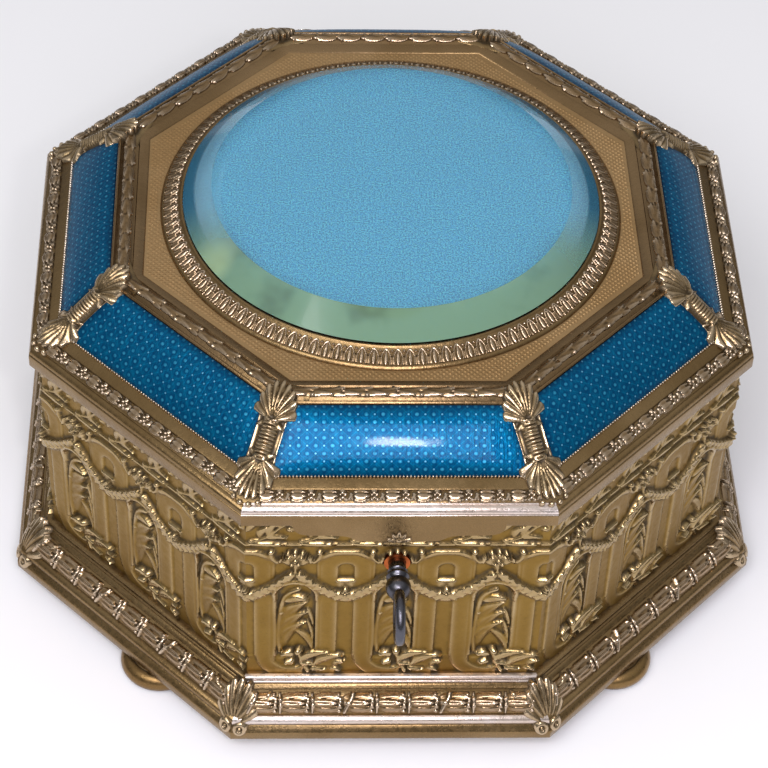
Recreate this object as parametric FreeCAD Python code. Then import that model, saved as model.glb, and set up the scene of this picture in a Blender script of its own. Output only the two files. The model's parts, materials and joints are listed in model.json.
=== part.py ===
import FreeCAD, Part
import math
import os
from FreeCAD import Placement, Rotation, Vector

# An octagonal gilt casket: bun feet, moulded plinth, eight cast walls, and a hinged lid
# with eight enamel plaques round a glazed top. Millimetres, +Z up, front towards -Y.

# Feet
foot_height = 7.0
foot_radius = 11.5
foot_neck_radius = 7.6
foot_neck_height = 0.9
foot_inset = 8.3
foot_shift = 7.5
foot_screw_radius = 1.6
foot_screw_head_radius = 2.8
foot_screw_head_height = 1.6
foot_screw_recess = 1.4
foot_screw_bite = 7.0

# Plinth, with its mouldings measured out from the wall's face
plinth_spread = 10.85
plinth_height = 18.5
fascia_height = 3.1
torus_height = 3.4
torus_set_back = 1.2
torus_swell = 1.0
band_set_back = 2.0
band_foot_rise = 0.6
band_height = 6.1
band_top_spread = 3.6
band_swell = 0.9
fillet_spread = 2.9
fillet_height = 1.4
bead_spread = 1.4
bead_height = 2.0
bead_swell = 0.9
plinth_ledge = 6.5
plinth_ledge_height = 5.0
clasp_radius = 7.5
clasp_sink = 4.3
volute_radius = 2.0
volute_length = 3.0
volute_gap = 4.2
volute_rise = 4.9

# Walls
wall_across = 195.0
wall_thickness = 3.5
wall_height = 62.4
frieze_height = 10.4
frieze_recess = 0.3
frieze_fillet = 0.8
frieze_fillet_height = 1.2

# Cast relief of the walls, the same in each bay: slots under arched straps, sunk leaf panels
# between them, a sprig at the foot, and swags hung from flowers, measured down from the frieze
bay_count = 3
slot_width = 4.3
slot_drop = 6.75
slot_sink = 1.0
strap_width = 5.4
panel_margin = 0.36
panel_drop = 13.05
panel_sink = 1.15
leaf_side_gap = 0.8
leaf_head_gap = 6.0
leaf_bow = 1.8
leaf_foot_overlap = 2.2
leaf_below_face = 0.1
sprig_left = 3.6
sprig_end_gap = 0.26
sprig_height = 6.6
sprig_sag = 5.0
sprig_crown = 1.0
sprig_rise = 1.2
swag_gap = 0.9
swag_end_drop = 10.2
swag_end_height = 2.7
swag_low_drop = 15.6
swag_low_height = 5.6
swag_rise = 1.4
flower_drop = 4.6
flower_radius = 4.5
flower_top_radius = 3.0
flower_rise = 1.5
relief_bury = 0.5

# Inside of the body
floor_thickness = 2.0
bracket_thickness = 1.5
bracket_lock_gap = 1.8
bracket_hinge_gap = 4.2
lining_thickness = 2.0
lining_top_gap = 1.0
pad_edge_height = 3.5
pad_crown = 1.5
pad_draw_in = 0.8

# Small countersunk screws, used all through
screw_head_radius = 1.8
screw_shank_radius = 0.9
screw_bite = 1.8
screw_slot_width = 0.5
screw_slot_depth = 0.4

# Lid
parting_gap = 0.15
lid_overhang = 2.5
rim_width = 10.6
rim_fascia_height = 2.9
rim_torus_base = 3.4
rim_torus_height = 3.4
rim_torus_set_back = 1.1
rim_torus_swell = 0.9
rim_fillet_set_back = 1.9
rim_fillet_top = 7.6
rim_ovolo_run = 3.7
rim_ovolo_rise = 1.7
rim_ovolo_swell = 0.7
rim_slope_run = 4.2
rim_slope_rise = 0.9
rim_inner_width = 1.6
lining_ledge_height = 4.2
lip_half = 28.0
lip_drop = 6.4
lip_middle_half = 9.3
lip_shoulder_half = 15.4
lip_shoulder_drop = 4.1
lip_end_run = 4.0
lip_end_swell = 1.0
lip_thickness = 1.1
lip_seat = 2.0
slope_run = 13.25
slope_rise = 12.2
plaque_thickness = 1.4
plaque_edge = 0.3
plaque_crown = 1.9
plaque_end_drop = 1.2
plaque_ledge = 2.0
rib_width = 11.4
rib_crown = 2.6
rib_shoulder = 0.6
rib_depth = 1.6
rib_foot_length = 6.0
rib_head_length = 1.5
frame_width = 8.65
frame_torus_height = 2.6
frame_edge = 1.1
frame_rebate = 2.65
plate_drop = 0.4
plate_thickness = 2.2

# Glazed top
bezel_margin = 4.3
bezel_width = 5.6
bezel_height = 3.6
bezel_edge = 0.8
bezel_lip = 0.9
bezel_lip_thickness = 0.7
bezel_wall = 2.6
glass_height = 9.0
bevel_width = 8.0
bevel_step = 0.3
board_thickness = 1.6
ring_inner_cover = 7.0
ring_outer_cover = 4.2
ring_thickness = 1.2
ring_screw_inset = 1.9
ring_screw_count = 6

# Hinge
hinge_length = 60.0
knuckle_count = 5
knuckle_radius = 2.2
knuckle_bore_clearance = 0.05
knuckle_side_gap = 0.2
hinge_pin_radius = 1.0
hinge_pin_proud = 0.5
hinge_leaf_thickness = 1.2
hinge_leaf_inset = 0.2
hinge_flange_height = 12.0
hinge_flange_screw_drop = 7.0
hinge_screw_spread = 22.0
hinge_lid_leaf_screw_inset = 6.0
hinge_back_gap = 0.4

# Lock and key
key_drop = 17.0
barrel_radius = 2.35
barrel_fit = 0.08
bush_radius = 3.5
bush_proud = 0.6
lock_plate_thickness = 1.2
lock_wall = 1.2
lock_half_width = 20.5
lock_flange = 5.0
lock_flange_screw_spread = 17.0
lock_depth = 6.8
lock_head_room = 1.3
lock_post_radius = 2.2
lock_post_rise = 2.0
bolt_thickness = 1.6
bolt_plate_gap = 1.4
bolt_top_drop = 3.4
bolt_bar_height = 6.0
bolt_bar_half = 13.0
bolt_arm_width = 3.0
bolt_left_arm = -10.0
bolt_right_arm = 8.0
bolt_finger_height = 2.0
bolt_finger_rise = 10.1
bolt_travel = 5.0
notch_left = 1.3
notch_right = 3.1
bit_radius = 6.0
bit_thickness = 1.4
bit_side_gap = 0.1
drill_pin_radius = 1.0
drill_pin_fit = 0.06
drill_pin_length = 6.0
barrel_bore_depth = 4.6
staple_thickness = 1.6
staple_gap = 0.6
staple_width = 4.0
staple_sill = 1.4
staple_play = 0.5
link_plate_thickness = 1.2
link_plate_overlap = 1.5
link_plate_depth = 8.4
link_screw_inset = 3.5
key_neck = 4.9
collar_radius = 3.1
collar_height = 1.5
ball_radius = 3.4
ball_sink = 0.68
bow_radius = 6.1
bow_wire_radius = 1.4
bow_overlap = 0.8

# Clearances
fit = 0.1
room = 0.4
screw_fit = 0.06

# Places worked out from the sizes above
SIDES = 8
TURN = 360.0 / SIDES
MITRE = math.radians(TURN / 2)
wall_half = wall_across / 2
wall_inner = wall_half - wall_thickness
plinth_half = wall_half + plinth_spread
shelf_inner = wall_inner - bracket_thickness
plinth_top = foot_height + plinth_height
floor_seat = foot_height + plinth_ledge_height
floor_top = floor_seat + floor_thickness
wall_top = plinth_top + wall_height
fillet_foot = wall_top - frieze_height - frieze_fillet_height
bay_pitch = 2 * wall_half * math.tan(MITRE) / bay_count
panel_half = bay_pitch / 2 - slot_width / 2 - strap_width - panel_margin
lid_bottom = wall_top + parting_gap
lid_half = wall_half + lid_overhang
rim_mouth = lid_half - rim_width
slope_foot_half = lid_half - rim_fillet_set_back - rim_ovolo_run - rim_slope_run
slope_foot = lid_bottom + rim_fillet_top + rim_ovolo_rise + rim_slope_rise
slope_head_half = slope_foot_half - slope_run
slope_head = slope_foot + slope_rise
slope_length = math.hypot(slope_run, slope_rise)
slope_up = (-slope_run / slope_length, slope_rise / slope_length)
slope_in = (-slope_rise / slope_length, -slope_run / slope_length)
frame_inner = slope_head_half - frame_width
plate_top = slope_head - plate_drop
plate_bottom = plate_top - plate_thickness
plate_half = frame_inner + frame_rebate
bezel_outer = frame_inner - bezel_margin
bezel_inner = bezel_outer - bezel_width
glass_radius = bezel_inner + bezel_lip - fit
spigot_radius = bezel_inner + bezel_lip + bezel_wall
glass_bottom = plate_bottom + board_thickness
hinge_y = lid_half + hinge_back_gap + knuckle_radius
hinge_z = lid_bottom
bracket_height = wall_height - hinge_leaf_inset - hinge_flange_height - bracket_hinge_gap
key_z = wall_top - key_drop
lock_back = -(wall_inner - lock_plate_thickness)
bolt_front = lock_back + bolt_plate_gap
bolt_rear = bolt_front + bolt_thickness
bolt_middle = (bolt_front + bolt_rear) / 2
lock_mouth = -(wall_inner - lock_plate_thickness - lock_depth + lock_wall)
bracket_wing = shelf_inner * math.tan(MITRE) - lock_half_width - lock_flange - bracket_lock_gap
link_plate_half = lock_half_width + link_plate_overlap
link_screw_spread = link_plate_half - link_screw_inset
bolt_bottom = key_z - bolt_top_drop - bolt_bar_height
lock_bottom = bolt_bottom - fit - lock_wall
finger_z = key_z + bolt_finger_rise
lock_top = finger_z + bolt_finger_height / 2 + lock_head_room + lock_wall
ball_y = -(wall_half + key_neck + collar_height + ball_radius - ball_sink)
bow_y = ball_y - ball_radius - bow_radius - bow_wire_radius + bow_overlap
key_reach = -bow_y + bow_radius + bow_wire_radius
frame_shift = (key_reach - plinth_half) / 2

SIDE_NAMES = ("front", "front_right", "right", "back_right", "back", "back_left", "left", "front_left")


def spot(out, height):
    """A point on the front side's middle plane, out from the casket's axis."""
    return Vector(0, -out, height)


def along_wall(along, height):
    """A point on the casket's middle plane, along the front wall."""
    return Vector(along, 0, height)


def outline(start, *steps, at=spot):
    """A closed face: two numbers draw a line to a point, four an arc through one point to another."""
    edges = []
    last = at(*start)
    for step in steps:
        end = at(*step[-2:])
        if len(step) == 2:
            edges.append(Part.makeLine(last, end))
        else:
            edges.append(Part.Arc(last, at(*step[:2]), end).toShape())
        last = end
    if tuple(steps[-1][-2:]) != tuple(start):
        edges.append(Part.makeLine(last, at(*start)))
    return Part.Face(Part.Wire(edges))


def swell(start, end, height):
    """An arc step from start to end that stands out to the left of that line by the given height."""
    run = end[0] - start[0]
    rise = end[1] - start[1]
    length = math.hypot(run, rise)
    middle_out = (start[0] + end[0]) / 2 + rise / length * height
    middle_rise = (start[1] + end[1]) / 2 - run / length * height
    return (middle_out, middle_rise, end[0], end[1])


def turned(shape, side):
    """The shape swung about the casket's axis from the front side to another."""
    return shape.rotated(Vector(0, 0, 0), Vector(0, 0, 1), side * TURN)


def mitre_wedge():
    """The front eighth of the casket, between its two mitre planes."""
    reach = 2 * plinth_half
    spread = reach * math.tan(MITRE)
    corners = [Vector(0, 0, -reach), Vector(-spread, -reach, -reach), Vector(spread, -reach, -reach)]
    return Part.Face(Part.makePolygon(corners + corners[:1])).extrude(Vector(0, 0, 3 * reach))


def mitred(face):
    """One side of an octagonal moulding, cut at both ends on the mitre planes."""
    reach = 2 * plinth_half
    bar = face.extrude(Vector(2 * reach, 0, 0)).translated(Vector(-reach, 0, 0))
    return bar.common(mitre_wedge()).Solids[0]


def octagon_ring(face):
    """Eight mitred sides joined into one ring."""
    side = mitred(face)
    ring = side.fuse([turned(side, k) for k in range(1, SIDES)])
    return ring.removeSplitter().Solids[0]


def octagon_points(half, height):
    """The eight corners of an octagon, closed back to the first."""
    radius = half / math.cos(MITRE)
    angles = [math.radians(k * TURN - 90) + MITRE for k in range(SIDES + 1)]
    return [Vector(radius * math.cos(a), radius * math.sin(a), height) for a in angles]


def octagon_plate(half, bottom, top):
    """A flat octagonal plate."""
    return Part.Face(Part.makePolygon(octagon_points(half, bottom))).extrude(Vector(0, 0, top - bottom))


def box(x0, x1, y0, y1, z0, z1):
    """A block between two corners."""
    return Part.makeBox(x1 - x0, y1 - y0, z1 - z0, Vector(x0, y0, z0))


def rod(radius, start, end):
    """A round bar from one point to another."""
    return Part.makeCylinder(radius, (end - start).Length, start, end - start)


def turning(start, *steps):
    """A solid of revolution about the casket's axis, drawn like an outline."""
    return outline(start, *steps).revolve(Vector(0, 0, 0), Vector(0, 0, 1), 360)


def screw_form(length, head_radius, shank_radius):
    """A countersunk screw's form, its head's face at the origin and its shank going down."""
    sink = head_radius - shank_radius
    head = Part.makeCone(shank_radius, head_radius, sink, Vector(0, 0, -sink))
    return head.fuse(Part.makeCylinder(shank_radius, length, Vector(0, 0, -length))).removeSplitter()


def placed(shape, position, direction):
    """The shape moved to a position with its top facing a direction."""
    copy = shape.copy()
    copy.Placement = Placement(position, Rotation(Vector(0, 0, 1), direction))
    return copy


def small_screw(plate, position, direction):
    """A slotted screw that holds a plate of the given thickness."""
    form = screw_form(plate + screw_bite, screw_head_radius, screw_shank_radius)
    reach = 2 * screw_head_radius
    slot = box(-reach, reach, -screw_slot_width / 2, screw_slot_width / 2, -screw_slot_depth, reach)
    return placed(form.cut(slot), position, direction)


def small_hole(plate, position, direction):
    """The countersunk hole for a small screw, open above its head."""
    form = screw_form(plate + screw_bite + screw_fit, screw_head_radius + screw_fit,
                      screw_shank_radius + screw_fit)
    mouth = Part.makeCylinder(screw_head_radius + screw_fit, room)
    return placed(form.fuse(mouth), position, direction)


def foot_places():
    """Each foot's name and its axis at floor level, on the four diagonal sides."""
    places = []
    for side, shift in ((1, -foot_shift), (3, foot_shift), (5, -foot_shift), (7, foot_shift)):
        axis = Part.Vertex(shift, -(plinth_half - foot_inset), 0)
        places.append(("foot_" + SIDE_NAMES[side], turned(axis, side).Point))
    return places


def foot(place):
    """A turned bun foot with a recess below for its screw."""
    neck_bottom = foot_height - foot_neck_height
    bulge = neck_bottom / 2
    bun = turning(
        (0, 0), (foot_radius - bulge, 0), (foot_radius, bulge, foot_radius - bulge, neck_bottom),
        (foot_neck_radius, neck_bottom), (foot_neck_radius, foot_height), (0, foot_height),
    )
    hole = Part.makeCylinder(foot_screw_radius + screw_fit, foot_height)
    recess_top = foot_screw_recess + foot_screw_head_height
    recess = Part.makeCylinder(foot_screw_head_radius + fit, recess_top)
    return bun.cut([hole, recess]).translated(place)


def foot_screw(place, spare=0.0):
    """The screw that draws a foot up to the plinth; spare widens it into its own hole."""
    seat = foot_screw_recess + foot_screw_head_height
    tip = foot_height + foot_screw_bite
    head = Part.makeCylinder(foot_screw_head_radius, foot_screw_head_height, Vector(0, 0, foot_screw_recess))
    shank = Part.makeCylinder(foot_screw_radius + spare, tip + spare - seat, Vector(0, 0, seat))
    return head.fuse(shank).translated(place)


def floor_screw_places():
    """Four screws through the floor plate, one behind the middle of each square side."""
    out = shelf_inner - plinth_ledge / 2
    return [turned(Part.Vertex(0, -out, floor_top), side).Point for side in (0, 2, 4, 6)]


def plinth():
    """The moulded ring under the walls, with a ledge inside for the floor plate."""
    base = foot_height
    fascia_top = base + fascia_height
    torus_top = fascia_top + torus_height
    band_foot = torus_top + band_foot_rise
    band_top = band_foot + band_height
    fillet_top = band_top + fillet_height
    bead_top = fillet_top + bead_height
    torus_out = plinth_half - torus_set_back
    band_out = plinth_half - band_set_back
    band_in = wall_half + band_top_spread
    fillet_out = wall_half + fillet_spread
    bead_out = wall_half + bead_spread
    ring = octagon_ring(outline(
        (shelf_inner - plinth_ledge, base), (plinth_half, base), (plinth_half, fascia_top),
        (torus_out, fascia_top), swell((torus_out, fascia_top), (torus_out, torus_top), torus_swell),
        (band_out, torus_top), (band_out, band_foot),
        swell((band_out, band_foot), (band_in, band_top), band_swell),
        (fillet_out, band_top), (fillet_out, fillet_top),
        (bead_out, fillet_top), swell((bead_out, fillet_top), (bead_out, bead_top), bead_swell),
        (bead_out, plinth_top), (shelf_inner, plinth_top), (shelf_inner, floor_seat),
        (shelf_inner - plinth_ledge, floor_seat),
    ))
    holes = [foot_screw(place, screw_fit) for name, place in foot_places()]
    holes += [small_hole(floor_thickness, place, Vector(0, 0, 1)) for place in floor_screw_places()]
    return ring.cut(holes)


def corner_clasps(ring):
    """A shell with two volutes over each corner of the plinth."""
    band_out = (plinth_half - band_set_back + wall_half + band_top_spread) / 2
    band_z = foot_height + fascia_height + torus_height + band_foot_rise + band_height / 2
    corner = band_out / math.cos(MITRE)
    sink = clasp_sink * math.sqrt(0.5)
    shell = Part.makeSphere(clasp_radius, spot(corner - sink, band_z - sink))
    volute_z = foot_height + volute_rise
    for side in (-1, 1):
        outward = Rotation(Vector(0, 0, 1), -side * TURN / 2).multVec(Vector(0, -1, 0))
        along = Vector(-side * outward.y, side * outward.x, 0)
        face = outward * plinth_half + along * (plinth_half * math.tan(MITRE) - volute_gap)
        start = Vector(face.x, face.y, volute_z) - outward * volute_length
        shell = shell.fuse(rod(volute_radius, start, start + outward * (volute_length + bead_swell)))
    clasp = turned(shell, 0.5).cut(ring)
    clasp = max(clasp.Solids, key=lambda piece: piece.Volume)
    return Part.makeCompound([turned(clasp, k) for k in range(SIDES)])


def floor_plate():
    """The plate on the plinth's ledge."""
    plate = octagon_plate(shelf_inner - fit, floor_seat, floor_top)
    return plate.cut([small_hole(floor_thickness, place, Vector(0, 0, 1)) for place in floor_screw_places()])


def bracket_screw_places():
    """Screws through both wings of each corner bracket, at its middle height."""
    reach = shelf_inner * math.tan(MITRE) - bracket_wing / 2
    height = plinth_top + bracket_height / 2
    return [spot(shelf_inner, height) + Vector(x, 0, 0) for x in (-reach, reach)]


def standing(face, low, high):
    """A face drawn along the wall, given thickness between two distances from the casket's axis."""
    return face.extrude(Vector(0, low - high, 0)).translated(Vector(0, -low, 0))


def bay_middles():
    """The middles of a wall's bays."""
    return [(k - (bay_count - 1) / 2) * bay_pitch for k in range(bay_count)]


def strap_middles():
    """The middles of a wall's straps, half a bay from its bays and at both its ends."""
    return [(k - bay_count / 2) * bay_pitch for k in range(bay_count + 1)]


def arch(middle, half, drop):
    """An upright from the wall's foot to a half-round head below the frieze."""
    head = fillet_foot - drop
    return outline((middle - half, plinth_top), (middle + half, plinth_top), (middle + half, head - half),
                   (middle, head, middle - half, head - half), at=along_wall)


def sunk_forms():
    """The slots and leaf panels that are cut into a wall's face."""
    front = wall_half + room
    slots = [standing(arch(x, slot_width / 2, slot_drop), wall_half - slot_sink, front) for x in strap_middles()]
    return slots + [standing(arch(x, panel_half, panel_drop), wall_half - panel_sink, front) for x in bay_middles()]


def leaf(middle):
    """The outline of a panel's leaf."""
    half = panel_half - leaf_side_gap
    foot = plinth_top + sprig_height - leaf_foot_overlap
    left = (middle - half, foot)
    right = (middle + half, foot)
    head = (middle, fillet_foot - panel_drop - leaf_head_gap)
    return outline(left, right, swell(right, head, leaf_bow), swell(head, left, leaf_bow), at=along_wall)


def sprig(middle):
    """The outline of the sprig at a bay's foot."""
    height = plinth_top + sprig_height
    left = (middle - sprig_left, height)
    right = (middle + bay_pitch / 2 - sprig_end_gap, height)
    return outline(left, swell(left, right, sprig_sag), swell(right, left, sprig_crown), at=along_wall)


def swag(middle):
    """The outline of a swag, fullest where it hangs lowest."""
    half = bay_pitch / 2 - swag_gap
    end = fillet_foot - swag_end_drop
    low = fillet_foot - swag_low_drop
    return outline(
        (middle - half, end), (middle, low, middle + half, end), (middle + half, end - swag_end_height),
        (middle, low - swag_low_height, middle - half, end - swag_end_height), at=along_wall)


def flower(middle):
    """The boss of a flower between two swags."""
    foot = Vector(middle, -wall_half + relief_bury, fillet_foot - flower_drop)
    height = flower_rise + relief_bury
    return Part.makeCone(flower_radius, flower_top_radius, height, foot, Vector(0, -1, 0))


def wall_panel(flowers):
    """One cast wall: straps, leaf panels, sprigs, swags and flowers below a fillet and a set-back frieze."""
    frieze = wall_half - frieze_recess
    panel = mitred(outline(
        (wall_inner, plinth_top), (wall_half, plinth_top), (wall_half, fillet_foot),
        (wall_half + frieze_fillet, fillet_foot), (wall_half + frieze_fillet, fillet_foot + frieze_fillet_height),
        (frieze, fillet_foot + frieze_fillet_height), (frieze, wall_top), (wall_inner, wall_top),
    )).cut(sunk_forms())
    root = wall_half - panel_sink - relief_bury
    raised = [standing(leaf(x), root, wall_half - leaf_below_face) for x in bay_middles()]
    raised += [standing(sprig(x), root, wall_half + sprig_rise) for x in bay_middles()]
    raised += [standing(swag(x), root, wall_half + swag_rise) for x in strap_middles()]
    raised += [flower(x) for x in flowers]
    panel = panel.fuse(raised).common(mitre_wedge()).removeSplitter().Solids[0]
    inward = Vector(0, 1, 0)
    return panel.cut([small_hole(bracket_thickness, place, inward) for place in bracket_screw_places()])


def keyhole(radius):
    """The key's round hole with the slot that its bit passes, right through wall and lock plate."""
    bore = rod(radius, Vector(0, -wall_half - room - bush_proud, key_z), Vector(0, lock_back + room, key_z))
    half = bit_thickness / 2 + room
    slot = box(-half, half, -wall_half - room - bush_proud, lock_back + room,
               key_z - bit_radius - room, key_z)
    return bore.fuse(slot)


def front_wall():
    """The front wall, pierced for the keyhole bush and the lock's screws."""
    start = Vector(0, -wall_half - room, key_z)
    seat = rod(bush_radius + fit / 2, start, Vector(0, -wall_inner + room, key_z))
    screws = [small_hole(lock_plate_thickness, place, Vector(0, 1, 0)) for place in lock_flange_places()]
    beside = [x for x in bay_middles() if abs(x) > flower_radius + bush_radius]
    return wall_panel(beside).cut([seat, keyhole(barrel_radius + barrel_fit)] + screws)


def back_wall():
    """The back wall, notched for the hinge's web and drilled for its flange."""
    panel = turned(wall_panel(bay_middles()), 4)
    depth = hinge_leaf_inset + hinge_leaf_thickness
    half = hinge_length / 2 + fit
    notch = box(-half, half, wall_inner - room, wall_half + room, wall_top - depth, wall_top + room)
    return panel.cut([notch] + [small_hole(hinge_leaf_thickness, place, Vector(0, -1, 0))
                                for place in hinge_flange_places()])


def corner_brackets():
    """Bent strips that tie the walls together inside each corner."""
    ring = octagon_ring(outline(
        (shelf_inner, plinth_top), (wall_inner, plinth_top),
        (wall_inner, plinth_top + bracket_height), (shelf_inner, plinth_top + bracket_height),
    ))
    holes = [small_hole(bracket_thickness, place, Vector(0, 1, 0)) for place in bracket_screw_places()]
    ring = ring.cut([turned(hole, k) for hole in holes for k in range(SIDES)])
    corner = spot(shelf_inner / math.cos(MITRE), plinth_top)
    reach = Part.makeCylinder(bracket_wing, bracket_height, corner)
    return Part.makeCompound([ring.common(turned(reach, k + 0.5)).Solids[0] for k in range(SIDES)])


def corner_screws():
    """Two screws for each corner bracket."""
    screws = [small_screw(bracket_thickness, place, Vector(0, 1, 0)) for place in bracket_screw_places()]
    return Part.makeCompound([turned(screw, k) for screw in screws for k in range(SIDES)])


def wall_lining():
    """Covered boards that stand on the floor plate in front of the brackets, cut out round the lock."""
    outer = shelf_inner - fit
    board = mitred(outline(
        (outer - lining_thickness, floor_top), (outer, floor_top),
        (outer, wall_top - lining_top_gap), (outer - lining_thickness, wall_top - lining_top_gap),
    ))
    half = lock_half_width + room
    opening = box(-half, half, -wall_half, 0, lock_bottom - room, wall_top)
    boards = [board.cut(opening)] + [turned(board, k) for k in range(1, SIDES)]
    return Part.makeCompound(boards)


def floor_pad():
    """A thin crowned cushion on the floor, drawn in at its sides."""
    half = shelf_inner - lining_thickness - room
    edge_top = floor_top + pad_edge_height
    lower = octagon_plate(half, floor_top, edge_top + pad_crown)
    crown_radius = (half * half + pad_crown * pad_crown) / (2 * pad_crown)
    crown = Part.makeSphere(crown_radius, Vector(0, 0, edge_top + pad_crown - crown_radius))
    foot_wire = Part.makePolygon(octagon_points(half - pad_draw_in, floor_top))
    waist_wire = Part.makePolygon(octagon_points(half, floor_top + pad_edge_height / 2))
    top_wire = Part.makePolygon(octagon_points(half - pad_draw_in, edge_top))
    cap_wire = Part.makePolygon(octagon_points(half - pad_draw_in - pad_edge_height, edge_top + pad_crown))
    sides = Part.makeLoft([foot_wire, waist_wire, top_wire, cap_wire], True, True)
    return lower.common(sides).common(crown).Solids[0]


def lock_flange_places():
    """Screws through the lock plate's side flanges."""
    x = lock_half_width + lock_flange / 2
    middle = (lock_bottom + lock_top) / 2
    half = lock_flange_screw_spread / 2
    return [Vector(side * x, lock_back, middle + rise) for side in (-1, 1) for rise in (-half, half)]


def lock_cover_places():
    """Screws through the lock's cover into its two posts."""
    x = lock_half_width - lock_wall - lock_post_radius / 2
    y = lock_mouth + lock_plate_thickness
    return [Vector(side * x, y, key_z + lock_post_rise) for side in (-1, 1)]


def staple_places():
    """The left edge of each staple, just past the reach of the bolt's finger."""
    return [arm + bolt_travel + staple_gap for arm in (bolt_left_arm, bolt_right_arm)]


def lock_case():
    """The lock's plate and side walls, with a keyhole, two posts and slots above for the staples."""
    plate = box(-lock_half_width - lock_flange, lock_half_width + lock_flange, -wall_inner, lock_back,
                lock_bottom, lock_top)
    shell = box(-lock_half_width, lock_half_width, lock_back, lock_mouth, lock_bottom, lock_top)
    inside = lock_half_width - lock_wall
    shell = shell.cut(box(-inside, inside, lock_back, lock_mouth, lock_bottom + lock_wall, lock_top - lock_wall))
    case = plate.fuse(shell)
    for place in lock_cover_places():
        case = case.fuse(rod(lock_post_radius, Vector(place.x, lock_back, place.z),
                             Vector(place.x, lock_mouth, place.z)))
    half = staple_width / 2 + room
    slots = [box(left - room, left + staple_thickness + room, bolt_middle - half, bolt_middle + half,
                 lock_top - lock_wall - room, lock_top + room) for left in staple_places()]
    holes = [small_hole(lock_plate_thickness, place, Vector(0, 1, 0)) for place in lock_flange_places()]
    holes += [small_hole(lock_plate_thickness, place, Vector(0, 1, 0)) for place in lock_cover_places()]
    return case.cut(slots + holes + [keyhole(barrel_radius + barrel_fit)]).removeSplitter()


def lock_cover():
    """The plate that closes the lock, with the drill pin that the key's barrel fits over."""
    plate = box(-lock_half_width, lock_half_width, lock_mouth, lock_mouth + lock_plate_thickness,
                lock_bottom, lock_top)
    tip = Vector(0, lock_mouth - drill_pin_length, key_z)
    pin = rod(drill_pin_radius, tip, Vector(0, lock_mouth + fit, key_z))
    holes = [small_hole(lock_plate_thickness, place, Vector(0, 1, 0)) for place in lock_cover_places()]
    return plate.fuse(pin).cut(holes).removeSplitter()


def lock_screws():
    """Four screws for the lock plate and two for its cover."""
    places = lock_flange_places() + lock_cover_places()
    return Part.makeCompound([small_screw(lock_plate_thickness, place, Vector(0, 1, 0)) for place in places])


def lock_bolt():
    """The sliding bolt: a notched bar with two arms, whose fingers are as long as its travel."""
    def slab(x0, x1, z0, z1):
        return box(x0, x1, bolt_front, bolt_rear, z0, z1)

    top = key_z - bolt_top_drop
    finger_bottom = finger_z - bolt_finger_height / 2
    finger_top = finger_z + bolt_finger_height / 2
    bolt = slab(-bolt_bar_half, bolt_bar_half, bolt_bottom, top)
    for arm in (bolt_left_arm, bolt_right_arm):
        bolt = bolt.fuse(slab(arm - bolt_arm_width, arm, bolt_bottom, finger_top))
        bolt = bolt.fuse(slab(arm - bolt_arm_width, arm + bolt_travel, finger_bottom, finger_top))
    notch = slab(-notch_left, notch_right, key_z - bit_radius - room, top)
    return bolt.cut(notch).removeSplitter()


def keyhole_bush():
    """A small bush in the front wall for the key's barrel to turn in."""
    front = Vector(0, -wall_half - bush_proud, key_z)
    bush = rod(bush_radius, front, Vector(0, -wall_inner, key_z))
    return bush.cut(keyhole(barrel_radius + barrel_fit)).removeSplitter()


def key():
    """The pipe key in the lock: barrel, bit, collar, ball and a round bow that stands upright."""
    tip = bolt_rear + fit
    collar_y = -(wall_half + key_neck)
    barrel = rod(barrel_radius, Vector(0, ball_y, key_z), Vector(0, tip, key_z))
    barrel = barrel.cut(rod(drill_pin_radius + drill_pin_fit, Vector(0, tip - barrel_bore_depth, key_z),
                            Vector(0, tip, key_z)))
    collar = rod(collar_radius, Vector(0, collar_y - collar_height, key_z), Vector(0, collar_y, key_z))
    ball = Part.makeSphere(ball_radius, Vector(0, ball_y, key_z))
    bow = Part.makeTorus(bow_radius, bow_wire_radius, Vector(0, bow_y, key_z), Vector(1, 0, 0))
    bit = box(-bit_thickness / 2, bit_thickness / 2, bolt_front + bit_side_gap, bolt_rear - bit_side_gap,
              key_z - bit_radius, key_z - barrel_radius + fit)
    return barrel.fuse([collar, ball, bow, bit]).removeSplitter()


def hinge_flange_places():
    """Screws through the hinge's flange inside the back wall."""
    height = wall_top - hinge_flange_screw_drop
    return [Vector(side * hinge_screw_spread, wall_inner - hinge_leaf_thickness, height) for side in (-1, 1)]


def hinge_lid_places():
    """Screws up through the hinge's lid leaf into the rim."""
    y = rim_mouth + hinge_lid_leaf_screw_inset
    return [Vector(side * hinge_screw_spread, y, lid_bottom + hinge_leaf_inset) for side in (-1, 1)]


def knuckles(first, web_bottom, web_top):
    """Every second knuckle of the hinge, each with the short web that carries it, bored for the pin."""
    pitch = hinge_length / knuckle_count
    inner = lid_half - knuckle_side_gap
    pieces = []
    for k in range(first, knuckle_count, 2):
        left = -hinge_length / 2 + k * pitch + knuckle_side_gap / 2
        right = left + pitch - knuckle_side_gap
        pieces.append(rod(knuckle_radius, Vector(left, hinge_y, hinge_z), Vector(right, hinge_y, hinge_z)))
        pieces.append(box(left, right, inner, hinge_y, web_bottom, web_top))
    return pieces


def hinge_leaf(plate, first, web_bottom, web_top):
    """A leaf joined to its knuckles, with the pin's bore cut through."""
    reach = Vector(hinge_length, 0, 0)
    middle = Vector(0, hinge_y, hinge_z)
    bore = rod(hinge_pin_radius + knuckle_bore_clearance, middle - reach, middle + reach)
    return plate.fuse(knuckles(first, web_bottom, web_top)).cut(bore).removeSplitter()


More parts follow.
